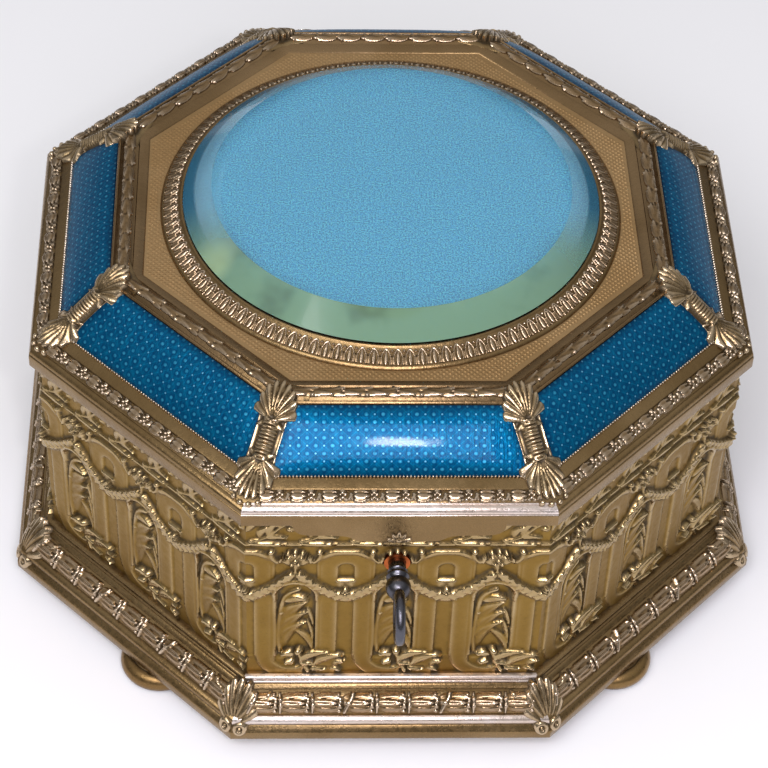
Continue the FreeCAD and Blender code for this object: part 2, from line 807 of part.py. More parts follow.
def hinge_body_leaf():
    """The lower leaf: a web through the wall's notch and a flange down the wall's inner face."""
    web_top = wall_top - hinge_leaf_inset
    web_bottom = web_top - hinge_leaf_thickness
    half = hinge_length / 2
    inner = wall_inner - hinge_leaf_thickness
    web = box(-half, half, inner, lid_half - knuckle_side_gap, web_bottom, web_top)
    flange = box(-half, half, inner, wall_inner, web_top - hinge_flange_height, web_top)
    plate = web.fuse(flange)
    holes = [small_hole(hinge_leaf_thickness, place, Vector(0, -1, 0)) for place in hinge_flange_places()]
    return hinge_leaf(plate.cut(holes), 0, web_bottom, web_top)


def hinge_lid_leaf():
    """The upper leaf, let into the underside of the rim."""
    web_bottom = lid_bottom + hinge_leaf_inset
    web_top = web_bottom + hinge_leaf_thickness
    half = hinge_length / 2
    plate = box(-half, half, rim_mouth, lid_half - knuckle_side_gap, web_bottom, web_top)
    holes = [small_hole(hinge_leaf_thickness, place, Vector(0, 0, -1)) for place in hinge_lid_places()]
    return hinge_leaf(plate.cut(holes), 1, web_bottom, web_top)


def hinge_pin():
    """The pin through all the knuckles."""
    reach = Vector(hinge_length / 2 + hinge_pin_proud, 0, 0)
    middle = Vector(0, hinge_y, hinge_z)
    return rod(hinge_pin_radius, middle - reach, middle + reach)


def link_screw_places():
    """Screws up through the link plate, one at each end."""
    y = bolt_middle + staple_width / 2 - link_plate_depth / 2
    return [Vector(side * link_screw_spread, y, lid_bottom) for side in (-1, 1)]


def link_plate():
    """The plate let into the rim's underside, with two staples that drop into the lock."""
    rear = bolt_middle + staple_width / 2
    front = rear - link_plate_depth
    plate = box(-link_plate_half, link_plate_half, front, rear, lid_bottom, lid_bottom + link_plate_thickness)
    window_half = bolt_finger_height / 2 + staple_play
    sill = finger_z - window_half - staple_sill
    opening = bolt_thickness / 2 + staple_play
    for left in staple_places():
        right = left + staple_thickness
        plate = plate.fuse(box(left, right, rear - staple_width, rear, sill, lid_bottom))
        plate = plate.cut(box(left - room, right + room, bolt_middle - opening, bolt_middle + opening,
                              finger_z - window_half, finger_z + window_half))
    holes = [small_hole(link_plate_thickness, place, Vector(0, 0, -1)) for place in link_screw_places()]
    return plate.cut(holes).removeSplitter()


def lid_rim():
    """The lid's moulded rim, with a seat above for the plaques and recesses below for its ironwork."""
    fillet_out = lid_half - rim_fillet_set_back
    torus_out = lid_half - rim_torus_set_back
    torus_bottom = lid_bottom + rim_torus_base
    torus_top = torus_bottom + rim_torus_height
    ovolo_foot = (fillet_out, lid_bottom + rim_fillet_top)
    ovolo_head = (fillet_out - rim_ovolo_run, ovolo_foot[1] + rim_ovolo_rise)
    seat = (slope_foot_half + slope_in[0] * plaque_thickness, slope_foot + slope_in[1] * plaque_thickness)
    ledge = (seat[0] + slope_up[0] * plaque_ledge, seat[1] + slope_up[1] * plaque_ledge)
    ceiling = lid_bottom + lining_ledge_height
    inner = rim_mouth - rim_inner_width
    ring = octagon_ring(outline(
        (rim_mouth, lid_bottom), (lid_half, lid_bottom), (lid_half, lid_bottom + rim_fascia_height),
        (torus_out, torus_bottom), swell((torus_out, torus_bottom), (torus_out, torus_top), rim_torus_swell),
        (fillet_out, torus_top), ovolo_foot, swell(ovolo_foot, ovolo_head, rim_ovolo_swell),
        (slope_foot_half, slope_foot), seat, ledge, (inner, ledge[1] - plaque_thickness),
        (inner, ceiling), (rim_mouth, ceiling),
    ))
    half = hinge_length / 2 + fit
    leaf_top = lid_bottom + hinge_leaf_inset + hinge_leaf_thickness
    leaf_recess = box(-half, half, rim_mouth - room, lid_half + room, lid_bottom - room, leaf_top)
    link_rear = bolt_middle + staple_width / 2
    link_recess = box(-link_plate_half - fit, link_plate_half + fit, link_rear - link_plate_depth - fit,
                      link_rear + room, lid_bottom - room, lid_bottom + link_plate_thickness)
    lip_recess = box(-lip_half - fit, lip_half + fit, -lid_half - room, lip_thickness - lid_half,
                     lid_bottom - room, lid_bottom + lip_seat)
    holes = [small_hole(hinge_leaf_thickness, place, Vector(0, 0, -1)) for place in hinge_lid_places()]
    holes += [small_hole(link_plate_thickness, place, Vector(0, 0, -1)) for place in link_screw_places()]
    return ring.cut([leaf_recess, link_recess, lip_recess] + holes)


def front_lip():
    """The shaped lip that hangs from the middle of the front rim, let in flush with the rim's face."""
    seat = lid_bottom + lip_seat
    shoulder = lid_bottom - lip_shoulder_drop
    low = lid_bottom - lip_drop
    end = lip_half - lip_end_run
    face = outline(
        (-lip_half, seat), (-lip_half, lid_bottom),
        swell((-lip_half, lid_bottom), (-end, shoulder), lip_end_swell), (-lip_shoulder_half, shoulder),
        (-lip_middle_half, low), (lip_middle_half, low), (lip_shoulder_half, shoulder), (end, shoulder),
        swell((end, shoulder), (lip_half, lid_bottom), lip_end_swell), (lip_half, seat), at=along_wall)
    return standing(face, lid_half - lip_thickness, lid_half)


def inner_frame():
    """The leaf-moulded frame round the flat top, rebated below for the top plate."""
    foot_out = slope_head_half + slope_in[0] * (slope_head - plate_bottom) / -slope_in[1]
    torus_outer = (slope_head_half - frame_edge, slope_head + plate_drop)
    torus_inner = (frame_inner + frame_edge, slope_head + plate_drop)
    return octagon_ring(outline(
        (foot_out, plate_bottom), (slope_head_half, slope_head),
        torus_outer, swell(torus_outer, torus_inner, frame_torus_height),
        (frame_inner, slope_head), (frame_inner, plate_top), (plate_half, plate_top),
        (plate_half, plate_bottom),
    ))


def rib_half_on_edge():
    """Half a rib's width along an edge of the octagon, with room for the lean of a plaque's end."""
    lean = plaque_thickness * slope_rise / slope_length * math.sin(MITRE)
    return (rib_width / 2 + lean + fit) / math.cos(MITRE)


def plaque():
    """A pillowed enamel plaque on the front slope between two ribs."""
    low = slope_foot_half * math.tan(MITRE) - rib_half_on_edge()
    high = slope_head_half * math.tan(MITRE) - rib_half_on_edge()
    corners = [Vector(-low, fit, 0), Vector(low, fit, 0), Vector(high, slope_length - fit, 0),
               Vector(-high, slope_length - fit, 0)]
    base = Part.Face(Part.makePolygon(corners + corners[:1])).translated(Vector(0, 0, -plaque_thickness))
    block = base.extrude(Vector(0, 0, plaque_thickness + plaque_crown + room))

    def barrel(half_span, drop, start, along):
        radius = (half_span ** 2 + drop ** 2) / (2 * drop)
        centre = start + Vector(0, 0, plaque_crown - radius)
        return rod(radius, centre, centre + along)

    reach = 2 * wall_half
    across = barrel(slope_length / 2, plaque_crown - plaque_edge, Vector(-reach, slope_length / 2, 0),
                    Vector(2 * reach, 0, 0))
    lengthwise = barrel(low, plaque_end_drop, Vector(0, -reach, 0), Vector(0, 2 * reach, 0))
    pillow = block.common(across).common(lengthwise).Solids[0]
    pillow.Placement = slope_placement()
    return pillow


def slope_placement():
    """The front slope's own frame: X along its lower edge, Y up the slope, Z out of it."""
    x = Vector(1, 0, 0)
    y = Vector(0, -slope_up[0], slope_up[1])
    z = x.cross(y)
    start = spot(slope_foot_half, slope_foot)
    matrix = FreeCAD.Matrix(x.x, y.x, z.x, start.x, x.y, y.y, z.y, start.y,
                            x.z, y.z, z.z, start.z, 0, 0, 0, 1)
    return Placement(matrix)


def corner_rib(rim, frame):
    """A rounded rib up one mitre of the lid, fitted over the rim and up to the inner frame."""
    foot_point = spot(slope_foot_half / math.cos(MITRE), slope_foot)
    head_point = spot(slope_head_half / math.cos(MITRE), slope_head)
    climb = (head_point - foot_point).normalize()
    outward = Vector(1, 0, 0).cross(climb)
    half = rib_width / 2
    fall = half * math.tan(MITRE) * slope_rise / slope_length

    def at(across, height):
        return foot_point - climb * rib_foot_length + Vector(across, 0, 0) + outward * height

    shoulder = -fall + rib_shoulder
    arc = Part.Arc(at(-half, shoulder), at(0, rib_crown), at(half, shoulder)).toShape()
    under = -fall - rib_depth
    base = Part.makePolygon([at(half, shoulder), at(half, under), at(0, -rib_depth), at(-half, under),
                             at(-half, shoulder)])
    length = (head_point - foot_point).Length + rib_foot_length + rib_head_length
    rib = Part.Face(Part.Wire([arc] + base.Edges)).extrude(climb * length)
    rib = turned(rib, 0.5).cut([rim, frame])
    return max(rib.Solids, key=lambda piece: piece.Volume)


def ring_screw_places():
    """Screws round the retaining ring, in the band where it lies under the top plate."""
    radius = spigot_radius + ring_outer_cover - ring_screw_inset
    angles = [2 * math.pi * (k + 0.5) / ring_screw_count for k in range(ring_screw_count)]
    z = plate_bottom - ring_thickness
    return [Vector(radius * math.cos(a), radius * math.sin(a), z) for a in angles]


def ring_screw_holes():
    """The holes that the retaining ring's screws pass and bite in."""
    return [small_hole(ring_thickness, place, Vector(0, 0, -1)) for place in ring_screw_places()]


def top_plate():
    """The flat plate inside the inner frame, with the round opening for the glass."""
    plate = octagon_plate(plate_half - fit, plate_bottom, plate_top)
    opening = Part.makeCylinder(spigot_radius + fit / 2, 2 * plate_thickness, Vector(0, 0, plate_bottom - room))
    return plate.cut([opening] + ring_screw_holes())


def glass_bezel():
    """The leaf ring that stands on the plate, with a lip over the glass and a spigot below."""
    lip_bottom = plate_top + bezel_height - bezel_lip_thickness
    slope_foot_point = (bezel_outer, plate_top + bezel_edge)
    slope_top_point = (bezel_inner + bezel_lip, plate_top + bezel_height)
    return turning(
        (bezel_outer, plate_top), slope_foot_point,
        swell(slope_foot_point, slope_top_point, bezel_edge / 2),
        (bezel_inner, plate_top + bezel_height), (bezel_inner, lip_bottom),
        (bezel_inner + bezel_lip, lip_bottom), (bezel_inner + bezel_lip, plate_bottom),
        (spigot_radius, plate_bottom), (spigot_radius, plate_top),
    )


def glass_disc():
    """Thick glass with a broad bevel, held under the bezel's lip."""
    girdle_top = plate_top + bezel_height - bezel_lip_thickness - fit / 2
    crown_radius = bezel_inner - fit
    bevel_foot = plate_top + bezel_height + bevel_step
    top = plate_top + glass_height
    return turning(
        (0, glass_bottom), (glass_radius, glass_bottom), (glass_radius, girdle_top),
        (crown_radius, girdle_top), (crown_radius, bevel_foot), (crown_radius - bevel_width, top), (0, top),
    )


def silk_board():
    """The silk-covered disc that shows through the glass."""
    return Part.makeCylinder(glass_radius, board_thickness, Vector(0, 0, plate_bottom))


def retaining_ring():
    """The flat ring below that holds the silk board and the glass up in the bezel."""
    start = Vector(0, 0, plate_bottom - ring_thickness)
    ring = Part.makeCylinder(spigot_radius + ring_outer_cover, ring_thickness, start)
    return ring.cut([Part.makeCylinder(glass_radius - ring_inner_cover, ring_thickness, start)]
                    + ring_screw_holes())


def lid_lining():
    """The covered board that closes the underside of the lid."""
    ceiling = lid_bottom + lining_ledge_height
    return octagon_plate(rim_mouth - fit, ceiling - lining_thickness, ceiling)


def small_screws(plate, places, direction):
    """A group of like screws."""
    return Part.makeCompound([small_screw(plate, place, direction) for place in places])


def save(name, shape):
    """Write one piece, with the whole casket and its key centred over the origin."""
    shape.translated(Vector(0, frame_shift, 0)).exportStep("parts/" + name + ".step")


def build_body():
    """The feet, plinth, walls, lock and lower half of the hinge."""
    ring = plinth()
    save("plinth", ring)
    save("corner_clasps", corner_clasps(ring))
    for name, place in foot_places():
        save(name, foot(place))
    save("foot_screws", Part.makeCompound([foot_screw(place) for name, place in foot_places()]))
    save("floor_plate", floor_plate())
    save("floor_screws", small_screws(floor_thickness, floor_screw_places(), Vector(0, 0, 1)))
    panel = wall_panel(bay_middles())
    for side, name in enumerate(SIDE_NAMES):
        if name == "front":
            save("wall_front", front_wall())
        elif name == "back":
            save("wall_back", back_wall())
        else:
            save("wall_" + name, turned(panel, side))
    save("corner_brackets", corner_brackets())
    save("corner_screws", corner_screws())
    save("wall_lining", wall_lining())
    save("floor_pad", floor_pad())
    save("keyhole_bush", keyhole_bush())
    save("lock_case", lock_case())
    save("lock_cover", lock_cover())
    save("lock_screws", lock_screws())
    save("lock_bolt", lock_bolt())
    save("key", key())
    save("hinge_body_leaf", hinge_body_leaf())
    save("hinge_body_screws", small_screws(hinge_leaf_thickness, hinge_flange_places(), Vector(0, -1, 0)))
    save("hinge_pin", hinge_pin())


def build_lid():
    """The rim, ribs, plaques, glazed top and upper half of the hinge."""
    rim = lid_rim()
    frame = inner_frame()
    save("lid_rim", rim)
    save("front_lip", front_lip())
    save("inner_frame", frame)
    pillow = plaque()
    rib = corner_rib(rim, frame)
    for side, name in enumerate(SIDE_NAMES):
        save("enamel_" + name, turned(pillow, side))
        save("corner_rib_" + str(side + 1), turned(rib, side))
    save("top_plate", top_plate())
    save("glass_bezel", glass_bezel())
    save("glass_disc", glass_disc())
    save("silk_board", silk_board())
    save("retaining_ring", retaining_ring())
    save("ring_screws", small_screws(ring_thickness, ring_screw_places(), Vector(0, 0, -1)))
    save("lid_lining", lid_lining())
    save("link_plate", link_plate())
    save("link_screws", small_screws(link_plate_thickness, link_screw_places(), Vector(0, 0, -1)))
    save("hinge_lid_leaf", hinge_lid_leaf())
    save("hinge_lid_screws", small_screws(hinge_leaf_thickness, hinge_lid_places(), Vector(0, 0, -1)))


os.makedirs("parts", exist_ok=True)
build_body()
build_lid()
print("frame shift", round(frame_shift, 4), "hinge", round(hinge_y + frame_shift, 4), round(hinge_z, 4),
      "key", round(key_z, 4), "bolt travel", bolt_travel)
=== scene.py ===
import json
import logging
import math
from collections.abc import Callable, Iterable, Sequence
from dataclasses import dataclass
from enum import Enum

import bmesh
import bpy
import numpy as np
from mathutils import Matrix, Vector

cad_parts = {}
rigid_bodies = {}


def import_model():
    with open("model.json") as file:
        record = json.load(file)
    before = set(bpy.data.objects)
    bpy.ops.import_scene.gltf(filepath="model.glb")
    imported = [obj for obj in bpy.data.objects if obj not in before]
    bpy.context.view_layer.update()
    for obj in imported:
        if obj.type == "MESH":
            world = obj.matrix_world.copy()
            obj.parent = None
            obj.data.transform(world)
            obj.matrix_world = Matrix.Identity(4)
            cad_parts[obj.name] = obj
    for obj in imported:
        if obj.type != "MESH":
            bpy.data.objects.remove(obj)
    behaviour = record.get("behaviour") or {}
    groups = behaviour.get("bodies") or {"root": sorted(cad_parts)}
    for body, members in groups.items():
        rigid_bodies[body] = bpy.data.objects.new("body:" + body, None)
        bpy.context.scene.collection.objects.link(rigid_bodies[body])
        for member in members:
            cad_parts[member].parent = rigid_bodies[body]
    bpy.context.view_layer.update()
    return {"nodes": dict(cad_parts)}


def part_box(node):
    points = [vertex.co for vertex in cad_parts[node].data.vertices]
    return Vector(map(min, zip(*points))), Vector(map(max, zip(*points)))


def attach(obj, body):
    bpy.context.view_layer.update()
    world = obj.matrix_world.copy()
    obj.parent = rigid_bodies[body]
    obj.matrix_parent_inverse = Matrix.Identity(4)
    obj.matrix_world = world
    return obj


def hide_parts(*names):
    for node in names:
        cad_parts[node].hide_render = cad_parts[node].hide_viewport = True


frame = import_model()
LOG = logging.getLogger("casket")
Array = np.ndarray
Pair = tuple[float, float]
Point = tuple[float, float, float]
Colour = Point
Piece = bpy.types.Object
Material = bpy.types.Material
MM = 0.001
SIDES = 8
TURN = math.radians(45.0)
MITRE = TURN / 2
MITRE_TAN = math.tan(MITRE)
MITRE_COS = math.cos(MITRE)
SIDE_NAMES = ("front", "front_right", "right", "back_right", "back", "back_left", "left",
              "front_left")
AXIS_Y = sum(corner.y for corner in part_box("plinth")) / 2
AXIS = (0.0, AXIS_Y, 0.0)


class Body(Enum):
    """The bodies that pieces ride on."""

    CASKET = "casket_body"
    LID = "lid"
    KEY = "key"


class Slot(Enum):
    """The record's material slots."""

    GILT = "gilt_bronze"
    BURNISHED = "burnished_gilt"
    ENAMEL = "enamel"
    GLASS = "glass"
    SILK = "blue_silk"
    STEEL = "steel"


# ---------------------------------------------------------------- finishes


class Nodes:
    """Adds and links the nodes of one tree."""

    def __init__(self, tree: bpy.types.NodeTree) -> None:
        """Takes the tree that the nodes go into."""
        self.tree = tree

    def add(self, kind: str, out: int | str = 0, settings: dict[str, object] | None = None,
            **values: object) -> object:
        """Adds a node and fills its inputs.

        Args:
            kind: The node's type.
            out: Which output to hand back.
            settings: Properties of the node.
            **values: Sockets or values by input name (underscores for spaces) or place (_0, _1).

        Returns:
            The output's socket.
        """
        node = self.tree.nodes.new(kind)
        for key, value in (settings or {}).items():
            setattr(node, key, value)
        self.fill(node, **values)
        return node.outputs[out]

    def fill(self, node: bpy.types.Node, **values: object) -> None:
        """Links or sets a node's inputs.

        Args:
            node: The node.
            **values: Sockets or values, named as in add.
        """
        for key, value in values.items():
            socket = node.inputs[int(key[1:]) if key[0] == "_" else key.replace("_", " ")]
            if isinstance(value, bpy.types.NodeSocket):
                self.tree.links.new(value, socket)
            else:
                opaque = socket.type == "RGBA" and len(value) == 3
                socket.default_value = (*value, 1.0) if opaque else value

    def math(self, kind: str, a: object, b: object = 0.0, clamp: bool = False) -> object:
        """One sum on two values, kept between 0 and 1 where it is clamped."""
        return self.add("ShaderNodeMath", settings={"operation": kind, "use_clamp": clamp}, _0=a,
                        _1=b)

    def times(self, a: object, b: object, clamp: bool = False) -> object:
        """The product of two values."""
        return self.math("MULTIPLY", a, b, clamp)

    def plus(self, a: object, b: object, clamp: bool = False) -> object:
        """The sum of two values."""
        return self.math("ADD", a, b, clamp)

    def rest(self, a: object) -> object:
        """What a share leaves of 1."""
        return self.math("SUBTRACT", 1.0, a)

    def axes(self, vector: object) -> list[object]:
        """The three numbers of a vector."""
        return list(self.add("ShaderNodeSeparateXYZ", _0=vector).node.outputs)


class Graph(Nodes):
    """The shader nodes of one material."""

    def __init__(self, name: str) -> None:
        """Starts a material with a principled shader and an output.

        Args:
            name: The material's name.
        """
        self.material = bpy.data.materials.new(name)
        self.material.use_nodes = True
        super().__init__(self.material.node_tree)
        self.tree.nodes.clear()
        self.output = self.tree.nodes.new("ShaderNodeOutputMaterial")
        self.shader = self.tree.nodes.new("ShaderNodeBsdfPrincipled")
        self.fill(self.output, Surface=self.shader.outputs[0])
        self.place = self.add("ShaderNodeTexCoord", "Object")

    def set(self, **values: object) -> None:
        """Fills inputs of the principled shader."""
        self.fill(self.shader, **values)

    def noise(self, scale: float, detail: float = 3.0, rough: float = 0.55,
              place: object = None) -> object:
        """A noise value between 0 and 1, in cells per metre or per unit of another place."""
        return self.add("ShaderNodeTexNoise", Vector=place or self.place, Scale=scale,
                        Detail=detail, Roughness=rough)

    def mix(self, share: object, a: object, b: object) -> object:
        """A colour between a, at a share of 0, and b, at 1."""
        return self.add("ShaderNodeMix", 2, {"data_type": "RGBA"}, _0=share, _6=a, _7=b)

    def step(self, value: object, low: float, high: float, start: float = 0.0,
             end: float = 1.0) -> object:
        """A smooth change from start to end as a value goes from low to high."""
        return self.add("ShaderNodeMapRange", settings={"interpolation_type": "SMOOTHSTEP"},
                        _0=value, _1=low, _2=high, _3=start, _4=end)

    def field(self, name: str) -> object:
        """A number stored on the mesh's points."""
        return self.add("ShaderNodeAttribute", "Fac", {"attribute_name": name})

    def closed(self, reach: float) -> object:
        """How closed in a spot is: 0 in the open, towards 1 in a corner within reach metres."""
        return self.rest(self.add("ShaderNodeAmbientOcclusion", "AO", {"samples": 6},
                                  Distance=reach))

    def mapped(self, place: object, scale: Colour, turn: float = 0.0) -> object:
        """Coordinates scaled, then turned about their third axis."""
        return self.add("ShaderNodeMapping", Vector=place, Scale=scale, Rotation=(0.0, 0.0, turn))

    def streaks(self, scale: Colour, detail: float, rough: float, place: object = None) -> object:
        """Noise with its own scale along each axis."""
        return self.noise(1.0, detail, rough, self.mapped(place or self.place, scale))

    def from_axis(self) -> object:
        """How far a spot is from the casket's upright axis, in metres."""
        level = self.mapped(self.place, (1.0, 1.0, 0.0))
        return self.add("ShaderNodeVectorMath", "Value", {"operation": "DISTANCE"}, _0=level,
                        _1=AXIS)

    def bump(self, height: object, distance: float, normal: object = None) -> object:
        """A normal bumped by a height of some metres, on top of another where there is one."""
        under = {} if normal is None else {"Normal": normal}
        return self.add("ShaderNodeBump", Distance=distance, Height=height, **under)


def toned(colour: Colour, factor: float, lift: float = 0.0) -> Colour:
    """A colour made darker or paler."""
    return tuple(min(1.0, factor * part + lift) for part in colour)


@dataclass(frozen=True)
class GiltFinish:
    """Cast and chased gilding: hollows and corners darkened as painted shade and dark patination,
    crests painted paler as wear and as painted highlight.
    """

    name: str
    tone: Colour
    warm: Colour
    crest: Colour
    patina_and_shade: Colour
    roughness: float = 0.38
    crest_roughness: float = 0.2
    shade_and_patina: float = 1.0
    brushed: bool = False

    def build(self) -> Material:
        """Makes the material."""
        g = Graph(self.name)
        drift = g.noise(38.0, 3.0)
        fine_noise = g.noise(620.0, 4.0, 0.6)
        speck = g.noise(2400.0, 2.0)
        crest = g.field("crest")
        # Painted shade and dark patination: darker in corners found by occlusion and in the
        # relief's hollows.
        corners = g.times(g.closed(0.0032), 1.15 * self.shade_and_patina)
        shade_and_patina_share = g.plus(corners, g.times(g.field("hollow"), 0.85 * self.shade_and_patina))
        shade_and_patina_share = g.step(g.times(shade_and_patina_share, g.step(fine_noise, 0.25, 0.75, 0.7, 1.2)), 0.12, 0.95)
        colour = g.mix(g.step(drift, 0.38, 0.62), self.tone, self.warm)
        # Dark specks, then crests painted paler as wear and as painted highlight, then the painted
        # shade and dark patination.
        for share, layer in ((g.times(g.step(speck, 0.55, 0.75), 0.22), self.patina_and_shade),
                             (g.times(crest, 0.9, True), self.crest),
                             (g.times(shade_and_patina_share, 0.92), self.patina_and_shade)):
            colour = g.mix(share, colour, layer)
        rough = g.step(fine_noise, 0.3, 0.7, self.roughness - 0.05, self.roughness + 0.07)
        gloss_and_painted_highlight = g.times(crest, self.roughness - self.crest_roughness)
        rough = g.plus(g.math("SUBTRACT", rough, gloss_and_painted_highlight), g.times(shade_and_patina_share, 0.2), True)
        normal = g.bump(speck, 0.00003, g.bump(fine_noise, 0.00009))
        if self.brushed:
            normal = g.bump(g.streaks((90.0, 90.0, 4200.0), 3.0, 0.6), 0.00002, normal)
        metal = g.step(shade_and_patina_share, 0.3, 1.0, 1.0, 0.45)
        g.set(Base_Color=colour, Roughness=rough, Metallic=metal, Normal=normal)
        return g.material


@dataclass(frozen=True)
class MetalFinish:
    """Plain worked metal with faint tooling, tarnished patches and painted shade in its corners."""

    name: str
    tone: Colour
    tarnish_and_shade: Colour
    roughness: float = 0.32

    def build(self) -> Material:
        """Makes the material."""
        g = Graph(self.name)
        patch = g.noise(140.0, 4.0, 0.6)
        # The dull colour marks tarnished patches, and stands as painted shade in corners found by
        # occlusion.
        share = g.plus(g.times(g.step(patch, 0.4, 0.72), 0.5), g.times(g.closed(0.0025), 0.8), True)
        rough = g.step(patch, 0.3, 0.7, self.roughness - 0.06, self.roughness + 0.14)
        scratch = g.streaks((300.0, 2600.0, 2600.0), 2.0, 0.5)
        g.set(Base_Color=g.mix(share, self.tone, self.tarnish_and_shade), Metallic=1.0, Roughness=rough,
              Normal=g.bump(scratch, 0.00003))
        return g.material


@dataclass(frozen=True)
class EnamelFinish:
    """Clear blue enamel over an engine-turned ground with a lattice of pale dots."""

    name: str
    deep: Colour
    bright: Colour
    dot: Colour
    pitch_along: float = 4.4
    pitch_up: float = 4.1

    def lattice(self, g: Graph, sheet: object, shift: float, feature: str) -> object:
        """How far a spot is from the staggered lattice's nearest point, or from its cells' edges.

        Args:
            g: The material's graph.
            sheet: The plaque's own coordinates, in millimetres.
            shift: Share of a pitch by which the lattice is moved along.
            feature: What the cells report.

        Returns:
            The distance's socket, in cells.
        """
        place = g.mapped(sheet, (1.0 / self.pitch_along, 1.0 / self.pitch_up, 1.0))
        moved = g.add("ShaderNodeVectorMath", settings={"operation": "ADD"}, _0=place,
                      _1=(shift, 0.0, 0.0))
        return g.add("ShaderNodeTexVoronoi", "Distance", {"feature": feature},
                     Vector=g.mapped(moved, (1.0, 1.0, 1.0), TURN), Scale=math.sqrt(2.0),
                     Randomness=0.0)

    def build(self) -> Material:
        """Makes the material."""
        g = Graph(self.name)
        sheet = g.add("ShaderNodeUVMap", settings={"uv_map": "plaque"})
        away = self.lattice(g, sheet, 0.0, "F1")
        between = self.lattice(g, sheet, 0.5, "F1")
        trellis = self.lattice(g, sheet, 0.0, "DISTANCE_TO_EDGE")
        flame = g.noise(0.5, 4.0, 0.65, sheet)
        streak = g.streaks((1.5, 0.22, 1.0), 3.0, 0.6, sheet)
        patch = g.noise(0.09, 3.0, 0.5, sheet)
        tone = g.plus(g.times(g.step(flame, 0.36, 0.68), 0.3),
                      g.times(g.step(streak, 0.38, 0.66), 0.2))
        tone = g.plus(tone, g.times(patch, 0.4))
        tone = g.plus(tone, g.step(trellis, 0.07, 0.0, 0.0, 0.36), True)
        colour = g.mix(tone, self.deep, self.bright)
        for far, inner, outer in ((away, 0.16, 0.34), (between, 0.08, 0.22)):
            ring = g.times(g.step(far, inner, inner + 0.05), g.step(far, outer, inner + 0.06))
            colour = g.mix(g.times(ring, 0.5), colour, self.deep)
        lively = g.step(g.noise(0.8, 2.0, 0.5, sheet), 0.3, 0.6, 0.4, 1.0)
        dots = g.times(g.step(away, 0.22, 0.05, 0.0, 0.62), lively)
        colour = g.mix(dots, colour, self.dot)
        colour = g.mix(g.step(between, 0.11, 0.04, 0.0, 0.7), colour, toned(self.dot, 1.0, 0.12))
        colour = g.mix(g.times(g.field("edge"), 0.75), colour, toned(self.deep, 0.35))
        g.set(Base_Color=colour, Metallic=0.55, Roughness=0.36, Specular_IOR_Level=0.0)
        g.set(Coat_Weight=0.11, Coat_Roughness=0.09, Coat_IOR=1.5)
        g.set(Normal=g.bump(g.plus(streak, flame), 0.00016),
              Coat_Normal=g.bump(g.noise(60.0, 2.0), 0.00012))
        return g.material


@dataclass(frozen=True)
class SilkFinish:
    """Plain satin with a fine thread, a soft sheen and painted glints, with a painted band of light
    along its rim where it has one.
    """

    name: str
    tone: Colour
    shade: Colour
    thread: float = 0.00042
    rim: float = 0.0
    painted_rim_light: Colour = (0.24, 0.74, 1.0)

    def build(self) -> Material:
        """Makes the material."""
        g = Graph(self.name)
        warp, weft = (g.add("ShaderNodeTexWave", "Fac", {"bands_direction": way}, Vector=g.place,
                            Scale=0.314 / self.thread, Distortion=bend, Detail=2.0)
                      for way, bend in (("X", 0.5), ("Y", 0.8)))
        woven = g.times(warp, weft)
        slub = g.step(g.streaks((800.0, 1700.0, 900.0), 2.0, 0.6), 0.36, 0.64)
        fine_noise = g.noise(2200.0, 2.0, 0.7)
        share = g.plus(g.times(woven, 0.3), g.times(slub, 0.7), True)
        colour = g.mix(share, self.shade, self.tone)
        # Paler specks are painted glints of the thread; darker specks darken it in the same noise.
        colour = g.mix(g.step(fine_noise, 0.5, 0.6, 0.0, 0.95), colour, toned(self.tone, 1.2, 0.1))
        colour = g.mix(g.step(fine_noise, 0.5, 0.4, 0.0, 0.85), colour, toned(self.shade, 0.55))
        # A painted band of light near the rim on the left and the front, where the bevel shows
        # light in it.
        if self.rim > 0.0:
            x, y = g.axes(g.place)[:2]
            near = g.step(g.from_axis(), self.rim - 0.0118, self.rim - 0.0105)
            lit = g.times(g.times(near, g.step(x, -0.034, -0.046)),
                          g.step(y, AXIS_Y + 0.024, AXIS_Y + 0.004))
            colour = g.mix(g.times(lit, 0.55), colour, self.painted_rim_light)
        g.set(Base_Color=colour, Roughness=0.42, Sheen_Weight=0.08, Sheen_Roughness=0.35,
              Normal=g.bump(g.plus(woven, slub), 0.00006))
        return g.material


